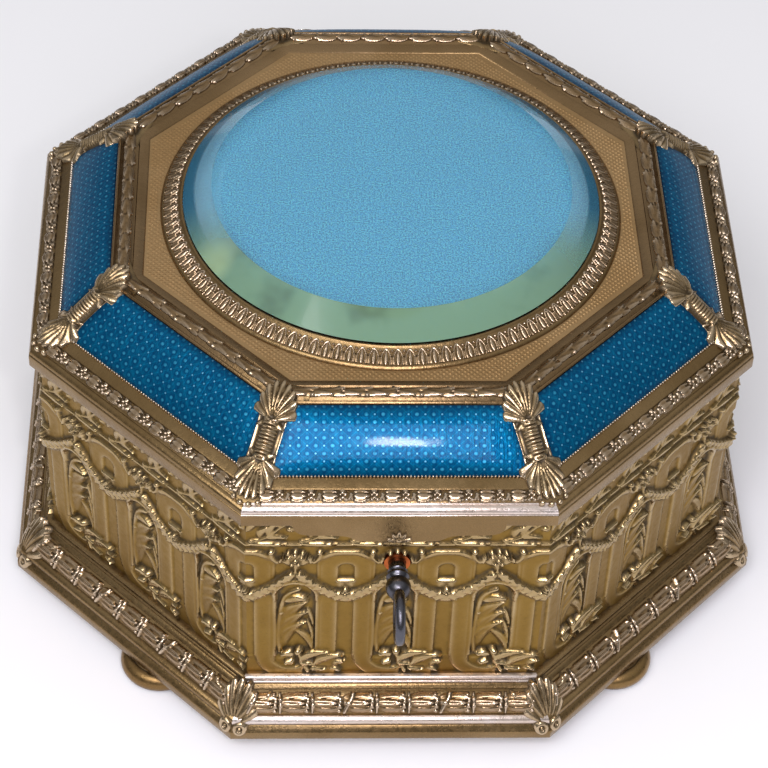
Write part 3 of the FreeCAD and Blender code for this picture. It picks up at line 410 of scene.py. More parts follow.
@dataclass(frozen=True)
class GlassFinish:
    """Thick old glass with a few smeared marks; its bevel can carry a painted reflection and
    painted shade.
    """

    name: str
    tint: Colour
    # Colours painted on the bevel: cast for the painted reflection of the room, lamp for a painted
    # lamp reflection, side and foot for painted shade at the other sides.
    cast: Colour = (0.0, 0.0, 0.0)
    painted_reflection: float = 0.0
    lamp: Colour = (0.5, 0.64, 0.3)
    side: Colour = (0.2, 0.3, 0.36)
    foot: Colour = (0.004, 0.085, 0.15)

    def build(self) -> Material:
        """Makes the material."""
        g = Graph(self.name)
        smear = g.noise(75.0, 4.0, 0.6)
        g.set(Base_Color=self.tint, Transmission_Weight=1.0, IOR=1.52,
              Roughness=g.step(smear, 0.45, 0.8, 0.0, 0.05))
        if self.painted_reflection > 0.0:
            g.fill(g.output, Surface=self.painted_bevel(g))
        return g.material

    def painted_bevel(self, g: Graph) -> object:
        """The clear glass under painted colour: on the front a painted reflection of the room, at
        the other sides painted shade.

        Args:
            g: The material's graph.

        Returns:
            The mixed shader's socket.
        """
        x, y = g.axes(g.place)[:2]
        # Darker blots and paler lamp patches within the painted reflection.
        reflected_blot = g.noise(48.0, 3.0, 0.5)
        lamp = g.step(g.noise(26.0, 2.0, 0.4), 0.62, 0.75)
        tone = g.mix(g.step(reflected_blot, 0.52, 0.68), self.cast, toned(self.cast, 0.62))
        tone = g.mix(g.times(lamp, 0.45), tone, self.lamp)
        # Front faces take the painted reflection; at the other sides a dark ring near the foot is
        # painted shade.
        front = g.step(y, 0.004, -0.02)
        foot = g.times(g.step(g.from_axis(), 0.0545, 0.0556),
                       g.step(g.math("ABSOLUTE", x), 0.012, 0.04))
        facing = g.add("ShaderNodeLayerWeight", "Facing", Blend=0.5)
        share = g.times(g.step(facing, 0.12, 0.6, self.painted_reflection, 0.12), front)
        painted_side_shade = g.times(g.rest(front), g.step(foot, 0.0, 1.0, 0.34, 0.8))
        side = g.mix(foot, self.side, self.foot)
        body = g.add("ShaderNodeBsdfPrincipled", Base_Color=g.mix(front, side, tone),
                     Roughness=0.12)
        return g.add("ShaderNodeMixShader", _0=g.plus(share, painted_side_shade, True), _1=g.shader.outputs[0],
                     _2=body)


class Finishes:
    """All the casket's finishes, made once."""

    def __init__(self) -> None:
        """Makes every material."""
        patina_and_shade = (0.06, 0.04, 0.015)
        self.wall = GiltFinish("ochre_gilding", (0.265, 0.16, 0.036), (0.235, 0.138, 0.03),
                               (0.5, 0.375, 0.2), (0.05, 0.033, 0.012), roughness=0.4,
                               crest_roughness=0.1, shade_and_patina=0.85).build()
        self.moulding = GiltFinish("rosy_gilding", (0.27, 0.178, 0.082), (0.22, 0.14, 0.06),
                                   (0.62, 0.49, 0.35), patina_and_shade, roughness=0.27, crest_roughness=0.17,
                                   brushed=True).build()
        self.ornament = GiltFinish("chased_gilding", (0.28, 0.182, 0.092), (0.23, 0.145, 0.068),
                                   (0.6, 0.475, 0.345), (0.055, 0.038, 0.016), roughness=0.27,
                                   crest_roughness=0.13, shade_and_patina=0.85).build()
        self.rib = GiltFinish("worn_gilding", (0.29, 0.2, 0.1), (0.23, 0.15, 0.068),
                              (0.55, 0.42, 0.27), (0.045, 0.031, 0.014), roughness=0.26,
                              crest_roughness=0.17).build()
        self.ground = GiltFinish("matted_gilding", (0.5, 0.325, 0.155), (0.44, 0.275, 0.122),
                                 (0.68, 0.51, 0.31), patina_and_shade, roughness=0.42, crest_roughness=0.3,
                                 shade_and_patina=0.8).build()
        self.foot = GiltFinish("dark_gilding", (0.3, 0.19, 0.075), (0.23, 0.14, 0.055),
                               (0.6, 0.45, 0.25), (0.035, 0.024, 0.012), roughness=0.3).build()
        self.wire = GiltFinish("milled_gilding", (0.66, 0.56, 0.44), (0.58, 0.48, 0.36),
                               (0.88, 0.8, 0.7), patina_and_shade, roughness=0.25, shade_and_patina=0.15).build()
        # Paler finish for bands on the front only: a painted highlight where these bands face the
        # lamps.
        self.gloss_and_painted_highlight = GiltFinish("front_highlight_gilding", (0.78, 0.68, 0.62), (0.68, 0.56, 0.47),
                                 (0.9, 0.84, 0.8), patina_and_shade, roughness=0.3, shade_and_patina=0.8,
                                 brushed=True).build()
        self.enamel = EnamelFinish("turned_enamel", (0.0, 0.034, 0.11), (0.002, 0.146, 0.275),
                                   (0.05, 0.37, 0.56)).build()
        # The top silk is painted paler than the lining, to stand for light that the glass keeps
        # from it.
        self.silk = SilkFinish("sky_satin", (0.135, 0.67, 1.0), (0.09, 0.54, 0.96),
                               rim=0.059).build()
        self.lining = SilkFinish("lining_satin", (0.1, 0.36, 0.6), (0.05, 0.24, 0.46),
                                 0.0006).build()
        self.glass = GlassFinish("clear_glass", (0.95, 0.985, 1.0)).build()
        # Its bevel takes a painted reflection and painted shade.
        self.bevel = GlassFinish("bevelled_glass", (0.86, 0.97, 0.95), (0.15, 0.27, 0.16),
                                 0.85).build()
        self.brass = MetalFinish("worked_brass", (0.62, 0.44, 0.17), (0.3, 0.19, 0.07)).build()
        self.steel = MetalFinish("lock_steel", (0.36, 0.36, 0.37), (0.14, 0.12, 0.11), 0.34).build()
        self.key = MetalFinish("key_iron", (0.1, 0.1, 0.115), (0.055, 0.04, 0.032), 0.25).build()
        self.copper = MetalFinish("red_copper", (0.52, 0.135, 0.032), (0.27, 0.065, 0.022),
                                  0.34).build()


# ---------------------------------------------------------------- meshes


def on_side(side: float, along: Array, out: Array, up: Array) -> Array:
    """Row-frame points, in metres, of points given in millimetres on one side.

    Args:
        side: Side number from the front, anticlockwise; halves are corners.
        along: Millimetres along the side, to the right as seen from outside.
        out: Millimetres from the casket's axis.
        up: Millimetres above the floor.

    Returns:
        The points, with a last axis of three.
    """
    turn = side * TURN
    x = along * math.cos(turn) + out * math.sin(turn)
    y = along * math.sin(turn) - out * math.cos(turn)
    return on_axis(x, y, up)


def on_axis(x: Array, y: Array, up: Array) -> Array:
    """Row-frame points, in metres, of points given in millimetres from the casket's axis."""
    return np.stack(np.broadcast_arrays(x, y, up), -1) * MM + AXIS


def linked(name: str, data: bpy.types.ID) -> Piece:
    """A new object in the scene, with some data.

    Args:
        name: The object's name.
        data: Its mesh, light or camera.

    Returns:
        The object.
    """
    piece = bpy.data.objects.new(name, data)
    bpy.context.scene.collection.objects.link(piece)
    return piece


def new_piece(name: str, points: Array, faces: Sequence, material: Material,
              fields: dict[str, Array] | None = None, sharp: float | None = None) -> Piece:
    """A mesh object at the origin.

    Args:
        name: The piece's name.
        points: Its points in metres.
        faces: Its faces.
        material: Its finish.
        fields: Numbers to store on its points; where they are fewer, the last points get 0.
        sharp: Angle in degrees past which an edge stays sharp.

    Returns:
        The object, linked to the scene.
    """
    mesh = bpy.data.meshes.new(name)
    mesh.from_pydata(np.asarray(points, float).reshape(-1, 3).tolist(), [],
                     [list(map(int, f)) for f in faces])
    for key, values in (fields or {}).items():
        padded = np.zeros(len(mesh.vertices), np.float32)
        padded[:values.size] = values.ravel()
        mesh.attributes.new(key, "FLOAT", "POINT").data.foreach_set("value", padded)
    return dressed(name, mesh, material, sharp)


def dressed(name: str, mesh: bpy.types.Mesh, material: Material | None,
            sharp: float | None = None) -> Piece:
    """A linked object of a mesh, shaded smooth, with one finish."""
    if material is not None:
        mesh.materials.clear()
        mesh.materials.append(material)
    mesh.shade_smooth()
    if sharp is not None:
        mesh.set_sharp_from_angle(angle=math.radians(sharp))
    return linked(name, mesh)


def closed_up(piece: Piece, sharp: float | None = None) -> Piece:
    """Merges a closed mesh's doubles and turns its faces outwards."""
    work = bmesh.new()
    work.from_mesh(piece.data)
    bmesh.ops.remove_doubles(work, verts=work.verts, dist=1e-7)
    bmesh.ops.dissolve_degenerate(work, edges=work.edges, dist=1e-8)
    bmesh.ops.recalc_face_normals(work, faces=work.faces)
    work.to_mesh(piece.data)
    work.free()
    if sharp is not None:
        piece.data.set_sharp_from_angle(angle=math.radians(sharp))
    return piece


def grid_faces(rows: int, cols: int) -> Array:
    """Quads of a grid of points that face the viewer when columns run right and rows run up."""
    base = np.arange(rows - 1)[:, None] * cols + np.arange(cols - 1)
    return np.stack([base, base + 1, base + 1 + cols, base + cols], -1).reshape(-1, 4)


def ring_faces(turns: int, count: int) -> Array:
    """Quads between closed profiles that stand in a closed ring.

    Args:
        turns: How many profiles there are.
        count: Points of each profile.

    Returns:
        The corners of each quad.
    """
    k, i = np.meshgrid(np.arange(turns), np.arange(count), indexing="ij")
    k2, i2 = (k + 1) % turns, (i + 1) % count
    return np.stack([k * count + i, k2 * count + i, k2 * count + i2, k * count + i2],
                    -1).reshape(-1, 4)


def block(front: Array, back: Array) -> tuple[Array, list]:
    """A closed block from a fine front grid and the back plane behind its border.

    Args:
        front: Points of the front, rows by columns by three.
        back: Points of the same shape on the back plane.

    Returns:
        The points and the faces.
    """
    rows, cols = front.shape[:2]
    index = np.arange(rows * cols).reshape(rows, cols)
    loop = np.concatenate([index[0, :-1], index[:-1, -1], index[-1, :0:-1], index[:0:-1, 0]])
    count = len(loop)
    rear = rows * cols + np.arange(count)
    rim = back.reshape(-1, 3)[loop]
    points = np.concatenate([front.reshape(-1, 3), rim, rim.mean(0)[None]])
    after = np.roll(loop, -1)
    rear_after = np.roll(rear, -1)
    faces = grid_faces(rows, cols).tolist()
    faces += np.stack([loop, rear, rear_after, after], -1).tolist()
    faces += np.stack([rear_after, rear, np.full(count, len(points) - 1)], -1).tolist()
    return points, faces


def swelled(start: Pair, end: Pair, height: float, steps: int = 9) -> list[Pair]:
    """A bowed run of profile points from start to end, standing out to the left by a height."""
    t = np.linspace(0.0, 1.0, steps)
    run, rise = end[0] - start[0], end[1] - start[1]
    length = math.hypot(run, rise)
    bow = 4.0 * t * (1.0 - t) * height
    return list(zip(start[0] + run * t + rise / length * bow,
                    start[1] + rise * t - run / length * bow))


def softened(profile: Sequence[Pair], radius: float) -> Array:
    """A closed profile with each true corner cut back to a small round.

    Args:
        profile: Points of the profile.
        radius: Most that a corner is cut back along each side.

    Returns:
        The new points.
    """
    points = np.asarray(profile, float)
    result = []
    for before, here, after in zip(np.roll(points, 1, 0), points, np.roll(points, -1, 0)):
        a, b = before - here, after - here
        la, lb = np.linalg.norm(a), np.linalg.norm(b)
        if la < 1e-9 or lb < 1e-9:
            continue
        if a @ b / (la * lb) < -0.93:
            result.append(here)
            continue
        p, q = here + a / la * min(radius, la / 3), here + b / lb * min(radius, lb / 3)
        result += [p, (p + q + 2 * here) / 4, q]
    return np.array(result)


def octagon_moulding(name: str, profile: Array, material: Material) -> Piece:
    """A closed profile carried round the octagon and mitred at its corners.

    Args:
        name: The piece's name.
        profile: Closed profile, (out, up) in millimetres.
        material: Its finish.

    Returns:
        The piece.
    """
    rings = [on_side(k - 0.5, 0.0, profile[:, 0] / MITRE_COS, profile[:, 1]) for k in range(SIDES)]
    piece = new_piece(name, np.concatenate(rings), ring_faces(SIDES, len(profile)), material)
    return closed_up(piece, sharp=32.0)


def front_highlighted(piece: Piece, material: Material, clear: float, *bands: Pair) -> Piece:
    """Gives a second, paler finish to bands on an octagonal moulding's front only, as a painted
    highlight where they face the lamps.

    Args:
        piece: The moulding.
        material: The second finish.
        clear: Distance from the axis, in millimetres, inside which faces stay as they are.
        bands: Lowest and highest height of each band, in millimetres.

    Returns:
        The same piece.
    """
    piece.data.materials.append(material)
    for face in piece.data.polygons:
        x, y, up = face.center
        front = abs(math.atan2(x, AXIS_Y - y)) < MITRE
        outside = math.hypot(x, y - AXIS_Y) > clear * MM
        if front and outside and any(low < up / MM < high for low, high in bands):
            face.material_index = 1
    return piece


def lofted(name: str, rings: Sequence[tuple[Array, float]], material: Material, sharp: float,
           closed: bool = False) -> Piece:
    """A closed piece through level rings round the casket's axis.

    Args:
        name: The piece's name.
        rings: The radii round the axis and the height of each ring, in millimetres.
        material: Its finish.
        sharp: Angle past which edges stay sharp.
        closed: Whether the last ring joins the first.

    Returns:
        The piece.
    """
    count = len(rings[0][0])
    angle = np.arange(count) * math.tau / count
    points = [on_axis(radius * np.cos(angle), radius * np.sin(angle), up) for radius, up in rings]
    k = np.arange(count)
    k2 = (k + 1) % count
    pairs = [(a, (a + 1) % len(rings)) for a in range(len(rings) if closed else len(rings) - 1)]
    faces = [np.stack([a * count + k, a * count + k2, b * count + k2, b * count + k], -1)
             for a, b in pairs]
    return closed_up(new_piece(name, np.concatenate(points), np.concatenate(faces), material),
                     sharp)


def octagon_share(count: int) -> Array:
    """The octagon's half width as a share of its reach, at even steps round the axis."""
    return np.cos((np.arange(count) * math.tau / count + MITRE) % TURN - MITRE)


def turned_piece(name: str, profile: Sequence[Pair], segments: int, material: Material,
                 centre: Point = (0.0, 0.0, 0.0), along_y: bool = False,
                 sharp: float = 40.0) -> Piece:
    """A profile turned round an axis.

    Args:
        name: The piece's name.
        profile: Closed profile, (radius, height) in millimetres.
        segments: Steps round the axis.
        material: Its finish.
        centre: The axis's foot in metres.
        along_y: Whether the axis points to -Y instead of up.
        sharp: Angle past which edges stay sharp.

    Returns:
        The piece.
    """
    shape = np.asarray(profile, float)
    angle = np.arange(segments) * math.tau / segments
    x = shape[None, :, 0] * np.cos(angle)[:, None]
    y = shape[None, :, 0] * np.sin(angle)[:, None]
    z = np.broadcast_to(shape[None, :, 1], x.shape)
    points = np.stack([x, -z, y] if along_y else [x, y, z], -1) * MM + centre
    return closed_up(new_piece(name, points, ring_faces(segments, len(shape)), material), sharp)


def joined(name: str, pieces: Iterable[Piece]) -> Piece:
    """One object from several meshes, which keep their finishes."""
    pieces = list(pieces)
    work = bmesh.new()
    materials = []
    for piece in pieces:
        first = len(work.faces)
        work.from_mesh(piece.data)
        work.faces.ensure_lookup_table()
        materials += [material for material in piece.data.materials if material not in materials]
        places = [materials.index(material) for material in piece.data.materials]
        for face in work.faces[first:]:
            face.material_index = places[face.material_index]
    mesh = bpy.data.meshes.new(name)
    work.to_mesh(mesh)
    work.free()
    for material in materials:
        mesh.materials.append(material)
    for piece in pieces:
        bpy.data.objects.remove(piece)
    return linked(name, mesh)


def show(piece: Piece, body: Body, slot: Slot, *nodes: str) -> Piece:
    """Sets a finished piece on its body, hides the nodes that it stands for, and reports it."""
    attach(piece, body.value)
    if nodes:
        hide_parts(*nodes)
    LOG.info("%s: %d faces on %s", piece.name, len(piece.data.polygons), body.value)
    return piece


# ---------------------------------------------------------------- reliefs


def smooth_line(points: Sequence[Pair], steps: int = 6) -> Array:
    """Points on a smooth curve through the given ones."""
    p = np.asarray(points, float)
    if len(p) == 2:
        return p
    p = np.concatenate([2 * p[:1] - p[1:2], p, 2 * p[-1:] - p[-2:-1]])
    t = np.linspace(0.0, 1.0, steps, endpoint=False)[:, None]
    runs = []
    for a, b, c, d in zip(p[:-3], p[1:-2], p[2:-1], p[3:]):
        runs.append(0.5 * (2 * b + (c - a) * t + (2 * a - 5 * b + 4 * c - d) * t ** 2
                           + (3 * b - a - 3 * c + d) * t ** 3))
    return np.concatenate(runs + [p[-2:-1]])


def nearest(u: Array, v: Array, line: Array) -> tuple[Array, Array, Array, float]:
    """Where each point stands to a line.

    Args:
        u: First coordinates.
        v: Second coordinates.
        line: Points of the line.

    Returns:
        Distance, run along the line, side (1 to the left), and the line's length.
    """
    best = np.full(u.shape, 1e9)
    run, side = np.zeros(u.shape), np.ones(u.shape)
    done = 0.0
    for a, b in zip(line[:-1], line[1:]):
        d = b - a
        length = float(np.hypot(*d))
        t = np.clip(((u - a[0]) * d[0] + (v - a[1]) * d[1]) / length ** 2, 0.0, 1.0)
        eu, ev = u - a[0] - t * d[0], v - a[1] - t * d[1]
        far = np.hypot(eu, ev)
        take = far < best
        best = np.where(take, far, best)
        run = np.where(take, done + t * length, run)
        side = np.where(take, np.sign(d[0] * ev - d[1] * eu), side)
        done += length
    return best, run, side, done


def blurred(field: Array, cells: float, wraps: bool) -> Array:
    """A field softened over some cells, wrapped or held at its ends along the second axis."""
    reach = max(1, int(3 * cells))
    weights = np.exp(-0.5 * (np.arange(-reach, reach + 1) / cells) ** 2)
    weights /= weights.sum()
    for axis, mode in ((0, "edge"), (1, "wrap" if wraps else "edge")):
        pad = [(0, 0), (0, 0)]
        pad[axis] = (reach, reach)
        wide = np.pad(field, pad, mode)
        count = field.shape[axis]
        field = sum(w * np.take(wide, np.arange(k, k + count), axis) for k, w in enumerate(weights))
    return field


def dome(q: Array) -> Array:
    """Height of a half-round at some shares of its half width."""
    return np.sqrt(np.clip(1.0 - q * q, 0.0, 1.0))


def both(rows: Sequence[Sequence[float]]) -> list[Sequence[float]]:
    """Spots or leaves, and their mirror images across the middle line."""
    signs = (-1.0, 1.0, -1.0, 1.0, 1.0, -1.0)
    return [*rows, *(tuple(sign * part for sign, part in zip(signs, row)) for row in rows)]


def moved(rows: Sequence[Sequence[float]], u: float, v: float) -> list[Sequence[float]]:
    """Spots or leaves, moved along and up."""
    shift = (u, v, u, v, 0.0, 0.0)
    return [tuple(part + by for part, by in zip(row, shift)) for row in rows]


@dataclass
class Relief:
    """A height field on a flat patch, in millimetres, drawn with simple chased forms."""

    width: float
    height: float
    step: float
    ground: float = 0.0
    low: float = 0.0
    repeats: bool = False
    tone_reach: float = 0.8
    tone_depth: float = 0.42

    def __post_init__(self) -> None:
        """Lays out the field's points."""
        cols = max(2, round(self.width / self.step))
        rows = max(2, round(self.height / self.step))
        self.u, self.v = np.meshgrid(np.linspace(-self.width / 2, self.width / 2, cols + 1),
                                     np.linspace(self.low, self.low + self.height, rows + 1))
        self.h = np.full(self.u.shape, self.ground)

    def images(self) -> list[Array]:
        """The first coordinates, once or for each neighbouring repeat."""
        return [self.u + k * self.width for k in ((-1, 0, 1) if self.repeats else (0,))]

    def level(self, inside: Array, value: float, edge: float) -> None:
        """Brings the field to a level where inside is positive, over a rounded edge."""
        share = np.clip(inside / edge, 0.0, 1.0)
        self.h = self.h + (value - self.h) * share * share * (3.0 - 2.0 * share)

    def over(self, where: Array, height: Array) -> None:
        """Raises the field to a height where that is higher."""
        self.h = np.where(where, np.maximum(self.h, height), self.h)

    def balls(self, spots: Iterable[Pair], radius: float, rise: float, base: float) -> None:
        """Raises round berries."""
        for cu, cv in spots:
            for u in self.images():
                d2 = ((u - cu) ** 2 + (self.v - cv) ** 2) / radius ** 2
                self.over(d2 < 1.0, base + rise * np.sqrt(np.clip(1.0 - d2, 0.0, None)))

    def leaves(self, rows: Iterable[Sequence[float]], rise: float, base: float, lift: float = 0.35,
               vein: float = 0.22) -> None:
        """Raises pointed leaves.

        Args:
            rows: For each leaf its root, its tip, its width and its bow.
            rise: Height of a leaf's crest.
            base: Level that the leaves lie on.
            lift: Share of the rise that comes only towards the tip.
            vein: Depth of the midrib's groove.
        """
        for ru, rv, tu, tv, width, bow in rows:
            du, dv = tu - ru, tv - rv
            length = math.hypot(du, dv)
            for u in self.images():
                eu, ev = u - ru, self.v - rv
                t = (eu * du + ev * dv) / length ** 2
                clear = np.clip(t, 0.0, 1.0)
                across = (ev * du - eu * dv) / length - bow * 4.0 * clear * (1.0 - clear)
                half = width / 2 * np.maximum(np.sin(math.pi * clear ** 0.72), 1e-4) ** 0.75
                q = across / half
                crest = rise * (1.0 - lift + lift * clear) * dome(q) ** 0.8
                ends = np.clip(4.0 * clear * (1.0 - clear), 0.0, 1.0)
                groove = vein * np.exp(-(across / (0.09 * width)) ** 2) * ends
                self.over((t > 0.0) & (t < 1.0) & (np.abs(q) < 1.0), base + crest - groove)

    def strips(self, lines: Iterable[Sequence[Pair]], half: float, rise: float, base: float,
               taper: float = 0.0) -> None:
        """Raises half-round strips along smooth lines.

        Args:
            lines: The points of each line.
            half: Half the strip's width at its start.
            rise: Its height.
            base: Level that it lies on.
            taper: Share of the width lost at its end.
        """
        for points in lines:
            line = smooth_line(points)
            for u in self.images():
                far, run, _, total = nearest(u, self.v, line)
                share = 1.0 - taper * run / total
                q = far / (half * share)
                self.over(q < 1.0, base + rise * share * dome(q))

    def shell(self, root: float, way: float, reach: float, spread: float, count: int,
              opening: float) -> None:
        """A fluted shell that opens from a root on the middle line.

        Args:
            root: Where the flutes meet.
            way: 1 to open upwards, -1 downwards.
            reach: Length of the middle flute.
            spread: Sideways reach.
            count: How many flutes there are.
            opening: Angle, to each side, that the flutes fill.
        """
        x, y = self.u / spread, way * (self.v - root) / reach
        far, angle = np.hypot(x, y), np.arctan2(x, y)
        flute = np.abs(np.cos(angle / opening * math.pi * (count - 1) / 2)) ** 0.7
        edge = 0.9 + 0.1 * flute
        share = np.clip(far / edge, 0.0, 1.0)
        bowl = 0.5 + 0.95 * np.sin(math.pi * 0.93 * share ** 0.9)
        ridges = (0.55 * flute - 0.35) * np.clip(far / 0.25, 0.0, 1.0)
        self.over((far < edge) & (np.abs(angle) < opening + 0.12), bowl + ridges)

    def tones(self, height: Array | None = None) -> dict[str, Array]:
        """How hollow and how raised each point is against its surroundings.

        Args:
            height: The field to read, or the relief's own.

        Returns:
            The two fields, hollow and crest.
        """
        field = self.h if height is None else height
        raised = (field - blurred(field, self.tone_reach / self.step,
                                  self.repeats)) / self.tone_depth
        return {"hollow": np.clip(-raised, 0.0, 1.0), "crest": np.clip(raised, 0.0, 1.0)}


def relief_piece(name: str, relief: Relief, wrap: Callable[[Array, Array, Array], Array],
                 depth: float, material: Material) -> Piece:
    """A closed piece from a relief that is bent onto what carries it.

    Args:
        name: The piece's name.
        relief: The height field.
        wrap: Gives row-frame points from along, up and height.
        depth: Level of the hidden back.
        material: The finish.

    Returns:
        The piece.
    """
    front = wrap(relief.u, relief.v, relief.h)
    back = wrap(relief.u, relief.v, np.full(relief.h.shape, depth))
    points, faces = block(front, back)
    return new_piece(name, points, faces, material, relief.tones(), sharp=70.0)


# ---------------------------------------------------------------- repeats


class Tree(Nodes):
    """One geometry node tree with named inputs."""

    def __init__(self, name: str, sockets: Sequence[tuple[str, str]]) -> None:
        """Starts a tree.

        Args:
            name: The tree's name.
            sockets: Name and kind of each input.
        """
        super().__init__(bpy.data.node_groups.new(name, "GeometryNodeTree"))
        self.ids: dict[str, str] = {}
        for label, kind in sockets:
            item = self.tree.interface.new_socket(label, in_out="INPUT",
                                                  socket_type="NodeSocket" + kind)
            self.ids[label] = item.identifier
        self.tree.interface.new_socket("Geometry", in_out="OUTPUT",
                                       socket_type="NodeSocketGeometry")
        self.inputs = self.tree.nodes.new("NodeGroupInput").outputs
        self.end = self.tree.nodes.new("NodeGroupOutput")

    def vector(self, x: object = 0.0, y: object = 0.0, z: object = 0.0) -> object:
        """A vector of three numbers."""
        return self.add("ShaderNodeCombineXYZ", X=x, Y=y, Z=z)

    def turn(self, x: object = 0.0, z: object = 0.0) -> object:
        """A rotation about X, then about Z."""
        return self.add("FunctionNodeEulerToRotation", Euler=self.vector(x, 0.0, z))

    def close(self, geometry: object, finish: object) -> None:
        """Ends the tree with real geometry in one finish."""
        real = self.add("GeometryNodeRealizeInstances", Geometry=geometry)
        done = self.add("GeometryNodeSetMaterial", Geometry=real, Material=finish)
        self.fill(self.end, _0=done)

    def mesh(self, name: str, **values: object) -> Piece:
        """Runs the tree with these inputs and hands back a plain mesh object.

        Args:
            name: The new piece's name.
            **values: A value for each named input, with underscores for spaces.

        Returns:
            The piece.
        """
        host = linked(name + "_seed", bpy.data.meshes.new(name + "_seed"))
        modifier = host.modifiers.new("repeat", "NODES")
        modifier.node_group = self.tree
        for key, value in values.items():
            modifier[self.ids[key.replace("_", " ")]] = value
        host.update_tag()
        graph = bpy.context.evaluated_depsgraph_get()
        mesh = bpy.data.meshes.new_from_object(host.evaluated_get(graph),
                                               preserve_all_data_layers=True, depsgraph=graph)
        mesh.name = name
        host.modifiers.remove(modifier)
        bpy.data.objects.remove(host)
        return dressed(name, mesh, None, sharp=70.0)


class Repeats:
    """The two repeating patterns: rows turned round the axis, and a field of small points."""

    def __init__(self) -> None:
        """Builds both trees."""
        self.rows = self._rows()
        self.field = self._field()

    @staticmethod
    def _rows() -> Tree:
        """Rows of a unit along each side of a ring, tilted to the face that carries them."""
        t = Tree("ornament_rows", (("Unit", "Object"), ("Count", "Int"), ("Pitch", "Float"),
                                   ("Shift", "Float"), ("Turns", "Int"), ("Out", "Float"),
                                   ("Up", "Float"), ("Tilt", "Float"), ("Axis", "Float"),
                                   ("Finish", "Material")))
        i = t.inputs
        unit = t.add("GeometryNodeObjectInfo", "Geometry", Object=i["Unit"])
        length = t.times(t.math("SUBTRACT", i["Count"], 1.0), i["Pitch"])
        start = t.math("SUBTRACT", i["Shift"], t.times(length, 0.5))
        line = t.add("GeometryNodeMeshLine", settings={"mode": "OFFSET"}, Count=i["Count"],
                     Start_Location=t.vector(start), Offset=t.vector(i["Pitch"]))
        row = t.add("GeometryNodeInstanceOnPoints", Points=line, Instance=unit)
        row = t.add("GeometryNodeTransform", Geometry=row,
                    Rotation=t.turn(t.times(i["Tilt"], -1.0)),
                    Translation=t.vector(0.0, t.times(i["Out"], -1.0), i["Up"]))
        row = t.add("GeometryNodeGeometryToInstance", Geometry=row)
        hub = t.add("GeometryNodeMeshLine", settings={"mode": "OFFSET"}, Count=i["Turns"],
                    Offset=(0.0, 0.0, 0.0))
        angle = t.times(t.add("GeometryNodeInputIndex"), t.math("DIVIDE", math.tau, i["Turns"]))
        ring = t.add("GeometryNodeInstanceOnPoints", Points=hub, Instance=row,
                     Rotation=t.turn(0.0, angle))
        ring = t.add("GeometryNodeTransform", Geometry=ring, Translation=t.vector(0.0, i["Axis"]))
        t.close(ring, i["Finish"])
        return t

    @staticmethod
    def _field() -> Tree:
        """A field of a unit that stands on its point, between a circle and an octagon."""
        t = Tree("diaper_field", (("Unit", "Object"), ("Cells", "Int"), ("Size", "Float"),
                                  ("Inner", "Float"), ("Outer", "Float"), ("Up", "Float"),
                                  ("Axis", "Float"), ("Finish", "Material")))
        i = t.inputs
        unit = t.add("GeometryNodeObjectInfo", "Geometry", Object=i["Unit"])
        grid = t.add("GeometryNodeMeshGrid", Size_X=i["Size"], Size_Y=i["Size"],
                     Vertices_X=i["Cells"], Vertices_Y=i["Cells"])
        grid = t.add("GeometryNodeTransform", Geometry=grid, Rotation=t.turn(0.0, TURN))
        x, y = (t.math("ABSOLUTE", part) for part in t.axes(t.add("GeometryNodeInputPosition"))[:2])
        across = t.times(t.plus(x, y), math.sqrt(0.5))
        reach = t.math("MAXIMUM", t.math("MAXIMUM", x, y), across)
        radius = t.math("SQRT", t.plus(t.times(x, x), t.times(y, y)))
        outside = t.math("MAXIMUM", t.math("LESS_THAN", radius, i["Inner"]),
                         t.math("GREATER_THAN", reach, i["Outer"]))
        kept = t.add("GeometryNodeDeleteGeometry", settings={"domain": "POINT"}, Geometry=grid,
                     Selection=outside)
        field = t.add("GeometryNodeInstanceOnPoints", Points=kept, Instance=unit,
                      Rotation=t.turn(0.0, TURN))
        field = t.add("GeometryNodeTransform", Geometry=field,
                      Translation=t.vector(0.0, i["Axis"], i["Up"]))
        t.close(field, i["Finish"])
        return t

    def row(self, name: str, unit: Piece, finish: Material, count: int, pitch: float,
            out: float, up: float, tilt: float, shift: float = 0.0, turns: int = SIDES) -> Piece:
        """Sets a unit in rows round the casket.

        Args:
            name: The new piece's name.
            unit: The unit, which is used up.
            finish: Its finish.
            count: Units in each row.
            pitch: Their pitch in millimetres.
            out: Distance from the axis in millimetres.
            up: Height in millimetres.
            tilt: Angle by which the face leans back from upright.
            shift: Millimetres along the row.
            turns: Rows round the axis.

        Returns:
            The piece.
        """
        piece = self.rows.mesh(name, Unit=unit, Count=count, Pitch=pitch * MM, Shift=shift * MM,
                               Turns=turns, Out=out * MM, Up=up * MM, Tilt=tilt, Axis=AXIS_Y,
                               Finish=finish)
        bpy.data.objects.remove(unit)
        return piece


def unit_piece(relief: Relief, material: Material, bow: Callable[[Array], Array] | None = None,
               radius: float = 0.0) -> Piece:
    """A small ornament unit: X along its row, -Y out of the face, Z up the face.

    Args:
        relief: Its height field, with the second coordinate up the face.
        material: Its finish.
        bow: Height of the face itself above its chord.
        radius: Radius of the roll that carries it, where it lies on a roll.

    Returns:
        The unit.
    """
    def wrap(u: Array, v: Array, h: Array) -> Array:
        """Bends the field onto the roll or the bowed face."""
        if radius > 0.0:
            angle = v / radius
            return np.stack([u, -(radius + h) * np.cos(angle), (radius + h) * np.sin(angle)],
                            -1) * MM
        return np.stack([u, -(h + (bow(v) if bow else 0.0)), v], -1) * MM

    return relief_piece("unit", relief, wrap, relief.ground - 0.2, material)


# ---------------------------------------------------------------- the casket's walls


